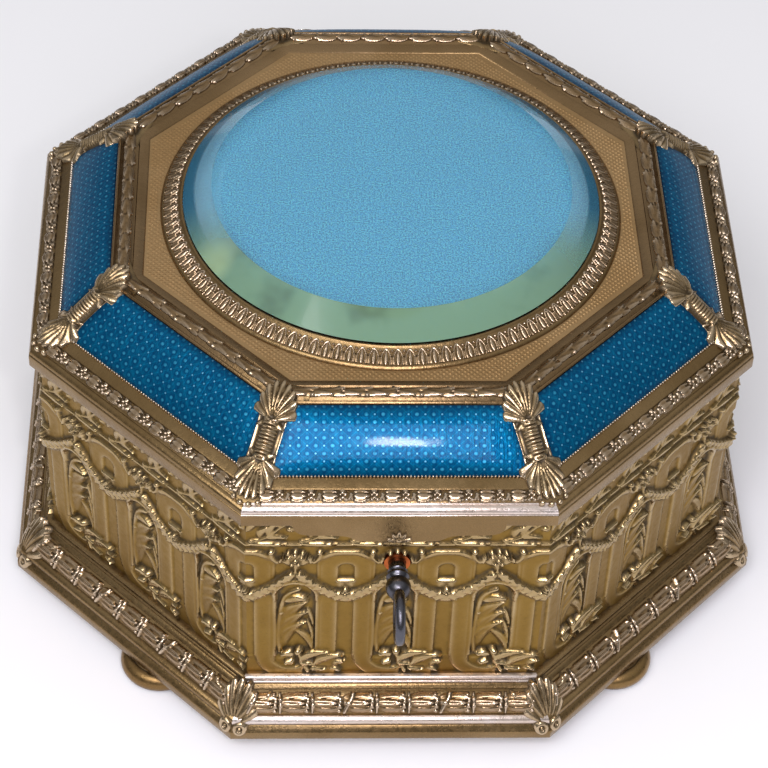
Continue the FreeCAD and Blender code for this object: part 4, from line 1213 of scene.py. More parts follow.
@dataclass
class Walls:
    """Eight cast walls: arched straps over slots, leaf panels, swags and a scrolled frieze."""

    finishes: Finishes
    half: float = 97.5
    thickness: float = 3.5
    bays: int = 3
    step: float = 0.345
    strap_half: float = 7.25
    arch_foot: float = 40.4
    arch_rise: float = 9.1
    slot_half: float = 2.3
    slot_top: float = 44.6
    slot_round: float = 2.0
    panel_half: float = 5.6
    panel_middle: float = 31.8
    hook_rise: float = 5.3
    hook_radius: float = 5.0
    strap_level: float = 0.2
    slot_level: float = -0.4
    panel_level: float = -0.95
    hook_level: float = -0.35
    arch_rim: float = 45.6
    panel_rim: float = 28.5
    seat_wall: float = 0.2
    swag_low: float = 31.6
    swag_rise: float = 8.6
    swag_half: float = 2.75
    swag_thin: float = 1.25
    frieze_foot: float = 51.8
    drop: float = 2.1
    key_up: float = 45.4
    bush_clear: float = 3.6
    hinge_half: float = 30.2
    hinge_drop: float = 1.5

    def __post_init__(self) -> None:
        """Takes the wall's height from the frame."""
        low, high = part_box("wall_front")
        self.foot = low.z / MM
        self.height = (high.z - low.z) / MM
        self.pitch = 2 * self.half * MITRE_TAN / self.bays

    def build(self) -> None:
        """Makes and places the eight walls."""
        bay = self.bay()
        field, wear_and_highlight = (np.concatenate([part[:, :-1]] * self.bays + [part[:, -1:]], 1)
                         for part in (bay.h, self.wear_and_highlight))
        tones = bay.tones(field)
        # Swags, flowers, sprays and frieze count as crests: painted paler as wear and as painted
        # highlight.
        tones["crest"] = np.maximum(tones["crest"], 0.75 * wear_and_highlight * (1.0 - tones["hollow"]))
        along = np.linspace(-1.0, 1.0, field.shape[1])[None, :]
        up = self.foot + bay.v[:, :1]
        for side, name in enumerate(SIDE_NAMES):
            height = self.pierced(name, field, along * self.half * MITRE_TAN, bay.v[:, :1])
            front = self.placed(side, along, height, up)
            back = self.placed(side, along, np.full(field.shape, -self.thickness), up)
            points, faces = block(front, back)
            piece = new_piece(f"wall_{name}_relief", points, faces, self.finishes.wall, tones,
                              sharp=75.0)
            show(piece, Body.CASKET, Slot.GILT, f"wall_{name}")

    def placed(self, side: int, share: Array, height: Array, up: Array) -> Array:
        """Points of a wall; ends follow the mitre planes whatever the height."""
        out = self.half + height
        return on_side(side, share * out * MITRE_TAN, out, up)

    def pierced(self, name: str, field: Array, along: Array, up: Array) -> Array:
        """The field with the keyhole bush's seat or the hinge's notch sunk into it."""
        if name == "front":
            return np.where(np.hypot(along, up - self.key_up) < self.bush_clear,
                            self.seat_wall - self.thickness, field)
        if name == "back":
            notch = (np.abs(along) < self.hinge_half) & (up > self.height - self.hinge_drop)
            return np.where(notch, self.seat_wall - self.thickness, field)
        return field

    def bay(self) -> Relief:
        """One bay, with its flower at the middle and half a strap at each end."""
        r = Relief(self.pitch, self.height + self.drop, self.step, ground=-0.25, low=-self.drop,
                   repeats=True)
        self.straps(r)
        self.acanthus(r)
        plain = r.h.copy()
        self.swag(r)
        self.flower(r)
        self.spray(r)
        self.frieze(r)
        # Where these forms stand above the straps and panel, for wear and painted highlight on
        # their crests.
        self.wear_and_highlight = blurred(np.clip((r.h - plain) / 0.5, 0.0, 1.0), 1.2, True)
        return r

    def straps(self, r: Relief) -> None:
        """Arched straps with a slot, whose right leg turns into a hook under the next panel."""
        a = (r.u + self.pitch) % self.pitch - self.pitch / 2
        rise = np.clip((r.v - self.arch_foot) / self.arch_rise, 0.0, None)
        bulge = (np.abs(a) / self.strap_half) ** 3 + rise ** 3
        outer = self.strap_half * (1.0 - bulge ** (1.0 / 3.0))
        qx, qy = np.abs(a) - self.slot_half + self.slot_round, r.v - self.slot_top + self.slot_round
        slot = self.slot_round - np.hypot(np.clip(qx, 0.0, None), np.clip(qy, 0.0, None))
        slot -= np.minimum(np.maximum(qx, qy), 0.0)
        panel = self.panel_half - np.where(r.v < self.panel_middle, np.abs(r.u),
                                           np.hypot(r.u, r.v - self.panel_middle))
        cut = (a > 0.0) & (r.v < self.hook_rise)
        r.level(panel, self.panel_level, 0.6)
        r.level(np.where(cut, -1.0, outer), self.strap_level, 0.55)
        r.level(np.where(cut, -1.0, slot), self.slot_level, 0.35)
        r.level(np.where(cut, np.minimum(a + 8.0, self.hook_rise - r.v), -1.0), self.hook_level,
                1.6)
        width = self.strap_half - self.slot_half
        for u in r.images():
            du, dv = u - self.pitch / 2 - self.strap_half - self.hook_radius, r.v - self.hook_rise
            ring = np.hypot(du, dv)
            inside = np.minimum(ring - self.hook_radius, self.hook_radius + width - ring)
            r.level(np.where((dv < 0.3) & (du < 3.6), inside, -1.0), self.strap_level, 0.5)
        high = np.clip((r.v - self.arch_rim) / 2.4, 0.0, 1.0)
        rim = (outer - 0.1) / 0.75
        r.over(np.abs(rim) < 1.0, 0.1 + 0.62 * high * dome(rim))
        top = np.clip((r.v - self.panel_rim) / 6.0, 0.0, 1.0)
        rim = (panel + 0.1) / (0.5 + 0.55 * top)
        r.over((np.abs(rim) < 1.0) & (r.v > self.hook_rise), -0.3 + (0.45 + 0.95 * top) * dome(rim))

    def acanthus(self, r: Relief) -> None:
        """A broad curling leaf that rises from the panel's left and turns over at its head."""
        r.strips([[(-4.3, 7.0), (-4.8, 12.0), (-4.6, 19.0), (-4.1, 25.0), (-3.2, 29.4),
                   (-1.6, 31.8), (0.6, 33.2)]], 0.8, 0.75, -0.85)
        r.leaves([(-4.4, 7.6, 2.9, 19.9, 5.0, 2.3), (-4.6, 11.0, 3.4, 24.4, 5.2, 2.3),
                  (-4.4, 16.0, 3.4, 28.6, 5.4, 2.1)], 1.25, -0.95, 0.8, 0.12)
        r.leaves([(-2.8, 28.8, 3.6, 30.3, 3.4, 0.5)], 1.9, -0.9, 0.35, 0.0)
        r.leaves([(-0.6, 16.6, 4.6, 5.8, 2.6, 1.7), (2.9, 25.6, 4.9, 17.0, 1.3, 0.4),
                  (3.1, 20.4, 4.9, 10.0, 1.3, 0.4)], 1.0, -0.95, 0.25, 0.12)
        r.balls([(-3.9, 23.6)], 0.6, 0.7, -0.4)

    def swag(self, r: Relief) -> None:
        """The laurel swag, which hangs from each flower and is fullest at its lowest point."""
        middle = self.pitch / 2

        def spine(share: Array) -> tuple[Array, Array]:
            """The swag's middle line, at shares from one end to the other."""
            return share * (middle - 1.2), self.swag_low + self.swag_rise * np.abs(share) ** 1.5

        def half(share: Array) -> Array:
            """Half the swag's width there."""
            return self.swag_half - self.swag_thin * np.abs(share) ** 0.9

        s = np.linspace(-1.0, 1.0, 29)
        x, y = spine(s)
        line = np.stack([middle + x, y], -1)
        for u in r.images():
            far, run, upper, total = nearest(u, r.v, line)
            q = far / half(run / total * 2.0 - 1.0)
            lobe = np.abs(np.sin(math.pi * (np.abs(run - total / 2) - 0.75 * far) / 2.3)) ** 0.55
            body = np.where(upper > 0, np.clip(1.6 * (1.0 - q), 0.0, 1.0), dome(q))
            r.over(q < 1.0, -0.2 + body * (1.15 + 0.3 * lobe))
        rows = []
        for way in (-1.0, 1.0):
            for share in np.linspace(0.05, 0.83, 6):
                (x, y), (tip_x, tip_y) = spine(way * share), spine(way * (share + 0.19))
                reach = 0.62 * half(share)
                for lean in (-reach, reach):
                    rows.append((middle + x, y + 0.3 * lean, middle + tip_x, tip_y + lean, 1.75,
                                 0.0))
        r.leaves(rows, 1.4, 0.35, 0.8, 0.1)
        a = (r.u + self.pitch) % self.pitch - middle
        r.over((np.abs(a) < 2.5) & (r.v > 34.5) & (r.v < 37.6),
               0.35 - 0.25 * (np.abs(a) / 2.5) ** 4)
        r.strips([[(middle - 2.2, 37.7), (middle, 37.9), (middle + 2.2, 37.7)]], 0.55, 0.75, 0.1)
        berries = [(0.0, 32.9), (0.0, 35.1), *both([(0.6, 34.2), (1.7, 33.4)])]
        r.balls(moved(berries, middle, 0.0), 0.55, 0.7, 1.15)

    def flower(self, r: Relief) -> None:
        """The flower over each panel: fanned petals, berries, two scrolls and a short stem."""
        r.strips([[(0.0, 38.6), (0.0, 44.2)]], 0.7, 0.6, -0.1)
        petals = []
        for angle, length in ((-66, 4.2), (-40, 4.6), (-14, 4.9), (14, 4.9), (40, 4.6), (66, 4.2)):
            turn = math.radians(angle)
            petals.append((0.4 * math.sin(turn), 44.0, length * math.sin(turn),
                           44.2 + length * math.cos(turn), 1.9, 0.0))
        r.leaves(petals, 0.75, -0.15, 0.6, 0.16)
        r.leaves(both([(4.3, 45.0, 3.2, 48.6, 1.05, -0.1)]), 1.25, 0.0, 0.2, 0.0)
        r.strips([[(way * 4.9, 45.2), (way * 6.3, 47.0), (way * 6.5, 49.0)] for way in (-1.0, 1.0)],
                 0.55, 0.6, 0.0)
        r.balls(both([(6.4, 49.4)]), 0.9, 1.1, 0.0)
        r.balls([(0.0, 49.9), (0.0, 48.5), (0.0, 46.0),
                 *both([(1.9, 49.2), (1.75, 47.4), (0.9, 44.8)])], 0.58, 0.95, 0.4)

    def spray(self, r: Relief) -> None:
        """The leafy sprig along the foot, with one berry where it starts."""
        r.strips([[(3.6, -1.2), (2.8, 0.5), (1.7, 2.6), (1.0, 5.8)],
                  [(1.9, 2.2), (5.0, 1.6), (9.0, 1.4), (12.6, 1.8)]], 0.8, 1.0, -0.4, 0.4)
        r.leaves([(0.0, 6.1, -4.0, 6.3, 2.5, -0.4), (-0.1, 3.2, -3.0, 2.9, 2.2, 0.3),
                  (1.2, 3.1, 9.4, 7.6, 3.0, 1.2), (5.2, 1.6, 13.5, 6.2, 3.1, 1.3),
                  (10.6, 1.4, 13.9, 3.8, 2.1, 0.5), (9.9, 0.2, 12.9, -0.4, 1.7, 0.2),
                  (4.2, 0.2, 8.8, 0.4, 1.9, -0.4)], 1.6, -0.35, 0.35, 0.18)
        r.balls([(0.95, 7.4)], 1.2, 1.7, -0.4)

    def frieze(self, r: Relief) -> None:
        """The frieze's low fillet and its running scroll of leaves."""
        foot = self.frieze_foot
        r.level(r.v - foot - 0.9, -0.4, 0.4)
        q = (r.v - foot - 0.55) / 0.7
        r.over(np.abs(q) < 1.0, -0.1 + 0.4 * dome(q))
        scroll = [(-5.4, 1.9), (-2.6, 2.6), (-0.2, 4.2), (2.2, 6.8), (4.3, 8.4), (6.0, 7.4),
                  (5.7, 5.8), (4.5, 6.0)]
        leaves = [(-2.2, 2.9, 4.6, 3.3, 2.1, 0.4), (-3.2, 3.2, -0.6, 7.8, 2.3, 0.6),
                  (-1.0, 4.0, 2.2, 9.6, 2.3, 0.7), (2.8, 7.2, -1.6, 9.9, 1.9, -0.5),
                  (-6.4, 5.6, -3.2, 9.4, 2.1, 0.4)]
        quarter = self.pitch / 4
        for x in (-quarter, quarter):
            r.leaves(moved([(-5.6, 1.3, 4.4, 0.9, 1.7, -0.1)], x, foot), 0.95, -0.05, 0.1, 0.1)
            r.strips([moved(scroll, x, foot)], 0.6, 0.85, -0.45, 0.4)
            r.leaves(moved(leaves, x, foot), 1.05, -0.45, 0.5, 0.16)
            r.balls(moved([(5.0, 6.6), (-2.4, 8.8)], x, foot), 0.8, 0.8, -0.3)


# ---------------------------------------------------------------- plinth and feet


@dataclass
class Plinth:
    """The moulded base, with bound leaves on its sloping band and a shell clasp at each corner."""

    finishes: Finishes
    repeats: Repeats
    half: float = 108.35
    foot: float = 7.0
    top: float = 23.4
    inner: float = 92.5
    ledge: float = 86.0
    ledge_top: float = 12.0
    band_low: Pair = (105.5, 14.75)
    band_high: Pair = (101.1, 19.7)
    band_swell: float = 0.8
    unit: float = 9.0
    clasp_reach: float = 11.0
    clasp_foot: float = 8.6
    clasp_height: float = 17.0
    clasp_out: float = 107.6
    clasp_run: float = 9.2
    clasp_swell: float = 0.9
    clasp_lean: float = 0.62
    clasp_sink: float = 1.15
    corner_round: float = 3.0

    def build(self) -> None:
        """Makes and places the plinth, its leaves and its clasps."""
        show(self.mouldings(), Body.CASKET, Slot.BURNISHED, "plinth")
        show(self.leaves(), Body.CASKET, Slot.BURNISHED)
        show(self.clasps(), Body.CASKET, Slot.BURNISHED, "corner_clasps")

    def mouldings(self) -> Piece:
        """The fascia, roll, sloping band, fillet and bead, in one ring."""
        profile = [(self.ledge, self.foot), (self.half, self.foot), (self.half, 9.7),
                   (106.95, 11.45), (106.6, 11.5)]
        profile += swelled((107.0, 11.75), (105.85, 14.4), 0.75)
        profile += [(105.4, 14.45)]
        profile += swelled(self.band_low, self.band_high, self.band_swell)
        profile += [(100.9, 19.75), (100.95, 20.1), (99.95, 21.2), (99.6, 21.2), (99.75, 21.5),
                    (99.5, 21.9), (98.9, 21.9)]
        profile += swelled((99.1, 22.05), (98.6, 23.2), 0.4)
        profile += [(98.0, self.top), (self.inner, self.top), (self.inner, self.ledge_top),
                    (self.ledge, self.ledge_top)]
        piece = octagon_moulding("plinth_mouldings", softened(profile, 0.25),
                                 self.finishes.moulding)
        # The roll and the bead on the front take the painted highlight finish.
        return front_highlighted(piece, self.finishes.gloss_and_painted_highlight, 97.7, (11.9, 14.4), (21.4, 23.4))

    def leaves(self) -> Piece:
        """Bundles of laurel along the sloping band, bound, and crossed by ribbon at every third."""
        run, rise = self.band_high[0] - self.band_low[0], self.band_high[1] - self.band_low[1]
        tilt = math.atan2(-run, rise)
        out = (self.band_low[0] + self.band_high[0]) / 2
        up = (self.band_low[1] + self.band_high[1]) / 2
        length = math.hypot(run, rise)
        rows = []
        for k, crossed in enumerate((True, False, False)):
            rows.append(self.repeats.row(f"bundle_{k}", self.bundle(crossed, length),
                                         self.finishes.ornament, 3, 3 * self.unit, out, up, tilt,
                                         shift=(k - 1) * self.unit))
        return joined("plinth_leaf_band", rows)

    def bundle(self, crossed: bool, length: float) -> Piece:
        """One bundle of leaves with its binding or crossed ribbon at the left."""
        r = Relief(self.unit, length - 0.6, 0.3, ground=-0.15, low=-(length - 0.6) / 2)
        edge = self.unit / 2
        r.leaves([(-edge, 1.5, edge - 0.6, 2.5, 2.2, -0.2),
                  (-edge, -1.5, edge - 0.6, -2.5, 2.2, 0.2)], 0.55, 0.1, 0.4)
        r.leaves([(-edge, 0.6, edge + 0.2, 1.35, 2.4, 0.3),
                  (-edge, -0.6, edge + 0.2, -1.35, 2.4, -0.3)], 0.8, 0.15, 0.45, 0.3)
        r.leaves([(-edge, 0.1, edge - 1.0, 0.0, 2.3, 0.0)], 1.1, 0.2, 0.3, 0.35)
        r.balls([(edge - 0.7, 0.45), (edge - 0.9, -0.7), (edge - 1.2, 2.3), (edge - 1.0, -2.4)],
                0.62, 0.8, 0.3)
        if crossed:
            r.strips([[(-edge + 0.3, -3.0), (-edge + 1.1, -1.0), (-edge + 2.4, 1.2),
                       (-edge + 2.9, 3.0)]], 0.5, 0.45, 0.75)
            r.balls([(-edge + 1.6, 0.0)], 0.8, 0.6, 0.8)
        else:
            r.strips([[(-edge + 0.4, -3.0), (-edge + 0.6, 0.0), (-edge + 0.4, 3.0)]], 0.4, 0.4, 0.7)
            r.balls([(-edge + 0.55, 1.1), (-edge + 0.55, -0.9)], 0.6, 0.55, 0.8)
        chord = length / 2
        return unit_piece(r, self.finishes.ornament,
                          lambda v: self.band_swell * (1.0 - (v / chord) ** 2))

    def clasps(self) -> Piece:
        """Fluted shells over the corners, each with two scrolls at its foot."""
        relief = self.shell()
        pieces = [relief_piece(f"clasp_{k}", relief, lambda u, v, h,
                               k=k: self.on_corner(k, u, v, h), -3.2, self.finishes.rib)
                  for k in range(SIDES)]
        return joined("corner_shells", pieces)

    def on_corner(self, corner: int, u: Array, v: Array, h: Array) -> Array:
        """Points wrapped round a corner of the plinth, standing off its mean slope."""
        share = np.clip((v - self.clasp_foot) / self.clasp_height, 0.0, 1.0)
        swell = self.clasp_swell * np.sin(math.pi * share)
        out = self.clasp_out - self.clasp_run * share ** 1.15 + swell
        round_off = np.sqrt(u * u + self.corner_round ** 2) - self.corner_round
        lean = self.clasp_lean * share
        diagonal = out / MITRE_COS - self.clasp_sink - round_off * MITRE_TAN + h * np.cos(lean)
        return on_side(corner - 0.5, u * 0.97, diagonal, v + h * np.sin(lean))

    def shell(self) -> Relief:
        """The shell's field: flutes that fan up from two scrolls, with leaves to each side."""
        r = Relief(2 * self.clasp_reach, self.clasp_height, 0.24, ground=-2.4, low=8.2)
        r.leaves(both([(2.6, 11.8, 9.4, 12.6, 2.3, 0.5)]), 1.2, -0.2, 0.3, 0.25)
        r.leaves(both([(4.6, 14.8, 8.2, 19.2, 2.3, 1.0)]), 1.1, -0.2, 0.3, 0.2)
        r.balls(both([(8.0, 19.6)]), 0.8, 0.9, -0.2)
        r.shell(11.2, 1.0, 12.2, 6.6, 7, 1.2)
        r.balls([(0.0, 12.0)], 2.6, 1.9, -0.6)
        for side in (-1.0, 1.0):
            cu, cv = side * 2.25, 10.9
            d = np.hypot(r.u - cu, r.v - cv)
            r.over(d < 2.1, 1.3 + 0.8 * dome((d - 1.4) / 0.7))
            r.balls([(cu, cv)], 0.65, 0.8, 1.3)
        return r


@dataclass
class Feet:
    """Four turned bun feet."""

    finishes: Finishes
    height: float = 7.0
    radius: float = 11.5
    neck: float = 7.6
    names: tuple[str, ...] = ("foot_front_right", "foot_back_right", "foot_back_left",
                              "foot_front_left")

    def build(self) -> None:
        """Makes and places the feet."""
        bulge = 3.05
        sweep = np.linspace(-math.pi / 2, math.pi / 2, 15)
        side = [(self.radius - bulge + bulge * math.cos(a), bulge + bulge * math.sin(a))
                for a in sweep]
        profile = [(0.0, 1.4), (2.9, 1.4), (2.9, 0.0)] + side
        profile += [(self.neck + 0.9, 6.1), (self.neck + 0.5, 5.9), (self.neck, 6.25),
                    (self.neck, self.height), (0.0, self.height)]
        for name in self.names:
            low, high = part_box(name)
            centre = ((low.x + high.x) / 2, (low.y + high.y) / 2, 0.0)
            show(turned_piece(f"{name}_bun", profile, 64, self.finishes.foot, centre), Body.CASKET,
                 Slot.GILT, name)


# ---------------------------------------------------------------- the lid


@dataclass
class Slope:
    """The lid's slope: where the plaques and ribs lie."""

    foot_half: float = 91.4
    foot_up: float = 97.55
    run: float = 13.9
    rise: float = 12.75

    def __post_init__(self) -> None:
        """Works out the slope's length and directions."""
        self.length = math.hypot(self.run, self.rise)
        self.climb = (-self.run / self.length, self.rise / self.length)
        self.normal = (self.rise / self.length, self.run / self.length)

    def at(self, side: float, along: Array, up: Array, height: Array) -> Array:
        """Points on one side's slope."""
        out = self.foot_half + self.climb[0] * up + self.normal[0] * height
        level = self.foot_up + self.climb[1] * up + self.normal[1] * height
        return on_side(side, along, out, level)


@dataclass
class LidFrame:
    """The lid's rim and inner frame, with their leaf bands and milled wires."""

    finishes: Finishes
    repeats: Repeats
    slope: Slope
    half: float = 100.0
    bottom: float = 88.05
    mouth: float = 89.4
    ceiling: float = 92.25
    ovolo_low: Pair = (97.9, 94.9)
    ovolo_high: Pair = (94.9, 96.05)
    ovolo_swell: float = 0.6
    bud_pitch: float = 8.2
    bud_count: int = 9
    bead_pitch: float = 0.96
    bead_count: int = 73
    bead_tilt: float = 62.0
    frame_inner: float = 68.3
    frame_base: float = 110.85
    frame_outer: float = 76.0
    roll_inner: float = 71.9
    frame_swell: float = 1.5
    laurel_pitch: float = 7.2
    laurel_count: int = 4

    def build(self) -> None:
        """Makes and places the rim, the frame and their ornament."""
        show(self.rim(), Body.LID, Slot.BURNISHED, "lid_rim")
        show(self.lip(), Body.LID, Slot.BURNISHED, "front_lip")
        show(self.buds(), Body.LID, Slot.BURNISHED)
        show(self.wires(), Body.LID, Slot.BURNISHED)
        show(self.frame(), Body.LID, Slot.BURNISHED, "inner_frame")
        show(self.laurels(), Body.LID, Slot.BURNISHED)

    def rim(self) -> Piece:
        """The rim's fascia, roll, fillet, ovolo and plain band."""
        slope = self.slope
        seat = (slope.foot_half - slope.normal[0] * 1.4, slope.foot_up - slope.normal[1] * 1.4)
        profile = [(self.mouth, self.bottom), (self.half, self.bottom), (self.half, 91.85),
                   (99.75, 92.1), (99.3, 92.2)]
        profile += swelled((99.85, 92.4), (98.65, 94.1), 0.3)
        profile += [(98.2, 94.2), (98.3, 94.6), (97.95, 94.75)]
        profile += swelled(self.ovolo_low, self.ovolo_high, self.ovolo_swell * 0.4)
        profile += [(94.8, 96.05), (94.75, 96.45), (94.4, 96.65), (slope.foot_half + 0.5, 97.85),
                    (slope.foot_half, slope.foot_up), seat, (seat[0] - 1.4, seat[1] + 1.3),
                    (87.8, seat[1]), (87.8, self.ceiling), (self.mouth, self.ceiling)]
        piece = octagon_moulding("lid_rim_mouldings", softened(profile, 0.22),
                                 self.finishes.moulding)
        # The roll on the front takes the painted highlight finish.
        return front_highlighted(piece, self.finishes.gloss_and_painted_highlight, 97.7, (91.9, 94.8))

    def lip(self) -> Piece:
        """The shaped lip below the front's fascia, with a small leaf at its lowest point."""
        edge = smooth_line([(-28.0, 0.05), (-27.6, 1.8), (-26.2, 3.3), (-24.0, 3.95), (-20.0, 4.05),
                            (-15.8, 4.15), (-13.2, 4.7), (-11.4, 5.8), (-9.2, 6.35), (0.0, 6.4)], 5)
        u = np.concatenate([edge[:, 0], -edge[-2::-1, 0]])
        drop = np.concatenate([edge[:, 1], edge[-2::-1, 1]])
        share = np.array([0.0, 0.03, 0.12, 0.3, 0.5, 0.7, 0.85, 0.95, 1.0])[:, None]
        up = self.bottom - drop + (drop + 2.7) * share
        soft = np.clip((up - self.bottom + drop) / 0.3, 0.0, 1.0)
        out = self.half - 0.3 + 0.32 * np.sqrt(1.0 - (1.0 - soft) ** 2)
        along = np.broadcast_to(u, up.shape)
        points, faces = block(on_side(0, along, out, up),
                              on_side(0, along, np.full(up.shape, self.half - 1.1), up))
        plate = new_piece("plate", points, faces, self.finishes.moulding, sharp=40.0)
        r = Relief(8.0, 5.0, 0.2, ground=-0.4, low=-0.2)
        r.leaves([*both([(0.0, 0.4, 3.4, 1.6, 1.6, -0.4), (0.0, 0.6, 1.9, 3.7, 1.5, -0.2)]),
                  (0.0, 0.8, 0.0, 4.5, 1.6, 0.0)], 0.8, -0.1, 0.3, 0.15)
        r.balls([(0.0, 0.7)], 0.7, 0.8, 0.0)
        tip = self.bottom - 6.2
        leaf = relief_piece("leaf", r, lambda x, y, h: on_side(0, x, self.half + h, tip + y), -0.6,
                            self.finishes.rib)
        return joined("front_lip_plate", [plate, leaf])

    def buds(self) -> Piece:
        """The band of buds and berries on the ovolo."""
        run, rise = self.ovolo_high[0] - self.ovolo_low[0], self.ovolo_high[1] - self.ovolo_low[1]
        length = math.hypot(run, rise)
        r = Relief(self.bud_pitch, length + 0.2, 0.27, ground=-0.35, low=-length / 2 - 0.1)
        r.leaves([(-4.0, 1.1, 0.4, 0.9, 1.3, 0.3), (-4.0, -1.0, 0.4, -0.8, 1.3, -0.3)], 0.7, 0.0,
                 0.3, 0.1)
        r.leaves([(-4.0, 0.0, 0.5, -0.1, 2.0, 0.0)], 0.85, 0.0, 0.1, 0.12)
        r.leaves([(3.9, 1.1, 2.8, -1.2, 1.2, 0.2), (4.05, -1.2, 3.3, 1.0, 0.8, 0.0),
                  (0.3, 1.4, 2.9, 1.35, 0.7, 0.1)], 0.8, 0.0)
        r.balls([(0.85, 0.4), (1.55, -0.35), (2.2, 0.5), (1.45, 1.0), (0.8, -0.9), (2.3, -0.9)],
                0.5, 0.55, 0.1)
        unit = unit_piece(r, self.finishes.ornament)
        out = (self.ovolo_low[0] + self.ovolo_high[0]) / 2 + 0.1
        up = (self.ovolo_low[1] + self.ovolo_high[1]) / 2 + 0.25
        return self.repeats.row("lid_bud_band", unit, self.finishes.ornament, self.bud_count,
                                self.bud_pitch, out, up, math.atan2(-run, rise))

    def wires(self) -> Piece:
        """The milled wires along the plaques' lower edges."""
        tooth = turned_piece("tooth", [(0.0, 0.0), (0.42, 0.0), (0.4, 0.35), (0.22, 0.72),
                                       (0.0, 0.85)], 6, self.finishes.wire, along_y=True,
                             sharp=80.0)
        return self.repeats.row("plaque_bead_wires", tooth, self.finishes.wire, self.bead_count,
                                self.bead_pitch, self.slope.foot_half + 0.12,
                                self.slope.foot_up + 0.3, math.radians(self.bead_tilt))

    def frame(self) -> Piece:
        """The frame round the flat top: a roll between a bright fillet and a groove."""
        outer = self.slope.foot_half - self.slope.run
        head = self.slope.foot_up + self.slope.rise
        foot = outer - self.slope.normal[0] * 2.6
        base = self.frame_base
        profile = [(foot, head - 2.6), (outer, head - 0.15), (outer + 0.02, head + 0.45),
                   (outer - 0.45, head + 0.9), (outer - 0.75, head + 0.75),
                   (outer - 1.1, head + 0.1), (self.frame_outer, base)]
        profile += swelled((self.frame_outer, base), (self.roll_inner, base),
                           self.frame_swell - 0.55)[1:]
        profile += [(self.roll_inner - 0.3, base - 0.1), (self.roll_inner - 0.6, base + 0.35),
                    (self.frame_inner + 0.5, head + 0.05), (self.frame_inner, head - 0.4),
                    (self.frame_inner + 2.65, head - 0.4), (self.frame_inner + 2.65, head - 2.6)]
        return octagon_moulding("inner_frame_mouldings", softened(profile, 0.14),
                                self.finishes.ornament)

    def laurels(self) -> Piece:
        """Overlapping laurel along the frame's roll, with a ribbon wound round it."""
        outer, inner = self.frame_outer, self.roll_inner
        chord = (outer - inner) / 2
        radius = (chord ** 2 + self.frame_swell ** 2) / (2 * self.frame_swell)
        arc = radius * math.asin(min(0.98, chord / radius))
        r = Relief(2 * self.laurel_pitch, 2 * arc, 0.3, ground=-0.75, low=-arc)
        edge = self.laurel_pitch
        r.strips([[(-edge, 0.0), (-edge / 2, 0.5), (0.0, 0.0), (edge / 2, -0.5), (edge, 0.0)]], 0.4,
                 0.4, -0.5)
        for x in (-edge, 0.0):
            outer_leaves = moved([(-0.6, 0.4, 6.0, 1.7, 2.2, 0.35),
                                  (1.6, -0.3, 8.2, -1.7, 2.4, -0.35)], x, 0.0)
            inner_leaves = moved([(2.4, 0.3, 7.4, 0.9, 1.7, 0.2),
                                  (-1.4, -0.6, 4.4, -1.3, 1.9, -0.2)], x, 0.0)
            r.leaves(outer_leaves, 0.7, -0.55, 0.5, 0.14)
            r.leaves(inner_leaves, 0.85, -0.5, 0.5, 0.14)
        r.balls([(-1.4, -1.5), (5.6, 1.6)], 0.55, 0.7, -0.3)
        unit = unit_piece(r, self.finishes.ornament, radius=radius)
        middle = (outer + inner) / 2
        up = self.frame_base + self.frame_swell - radius
        return self.repeats.row("inner_frame_laurel", unit, self.finishes.ornament,
                                self.laurel_count, 2 * self.laurel_pitch - 0.1, middle, up,
                                math.radians(90.0))


@dataclass
class Plaques:
    """Eight pillowed enamel plaques."""

    finishes: Finishes
    slope: Slope
    under_rib: float = 3.6
    edge: float = 0.3
    crown: float = 1.9
    end_drop: float = 1.1
    dark_rim: float = 2.2
    steps_along: int = 97
    steps_up: int = 37
    thickness: float = 1.3

    def build(self) -> None:
        """Makes and places the plaques."""
        for side, name in enumerate(SIDE_NAMES):
            show(self.plaque(side, f"enamel_{name}_plaque"), Body.LID, Slot.ENAMEL,
                 f"enamel_{name}")

    def plaque(self, side: int, name: str) -> Piece:
        """One plaque, crowned both ways, with its own flat map for the pattern."""
        s = self.slope
        share, t = np.meshgrid(np.linspace(-1.0, 1.0, self.steps_along),
                               np.linspace(0.006, 0.994, self.steps_up))
        half = (s.foot_half + s.climb[0] * s.length * t) * MITRE_TAN - self.under_rib / MITRE_COS
        along, up = share * half, t * s.length
        pillow = (1.0 - np.abs(2.0 * t - 1.0) ** 2.6) * (1.0 - 0.42 * np.abs(share) ** 3)
        ends = self.end_drop * 0.4 * np.abs(share) ** 8
        height = self.edge + (self.crown - self.edge) * pillow - ends
        points, faces = block(s.at(side, along, up, height),
                              s.at(side, along, up, np.full(t.shape, -self.thickness)))
        spare = len(points) - t.size
        near = np.minimum(np.minimum(t, 1.0 - t) * s.length, (1.0 - np.abs(share)) * half)
        rim = np.concatenate([np.clip(1.0 - near / self.dark_rim, 0.0, 1.0).ravel() ** 1.5,
                              np.ones(spare)])
        piece = new_piece(name, points, faces, self.finishes.enamel, {"edge": rim}, sharp=60.0)
        sheet = np.concatenate([np.stack([along, up], -1).reshape(-1, 2), np.zeros((spare, 2))])
        corners = np.empty(len(piece.data.loops), np.int32)
        piece.data.loops.foreach_get("vertex_index", corners)
        layer = piece.data.uv_layers.new(name="plaque")
        layer.data.foreach_set("uv", sheet[corners].astype(np.float32).ravel())
        return piece


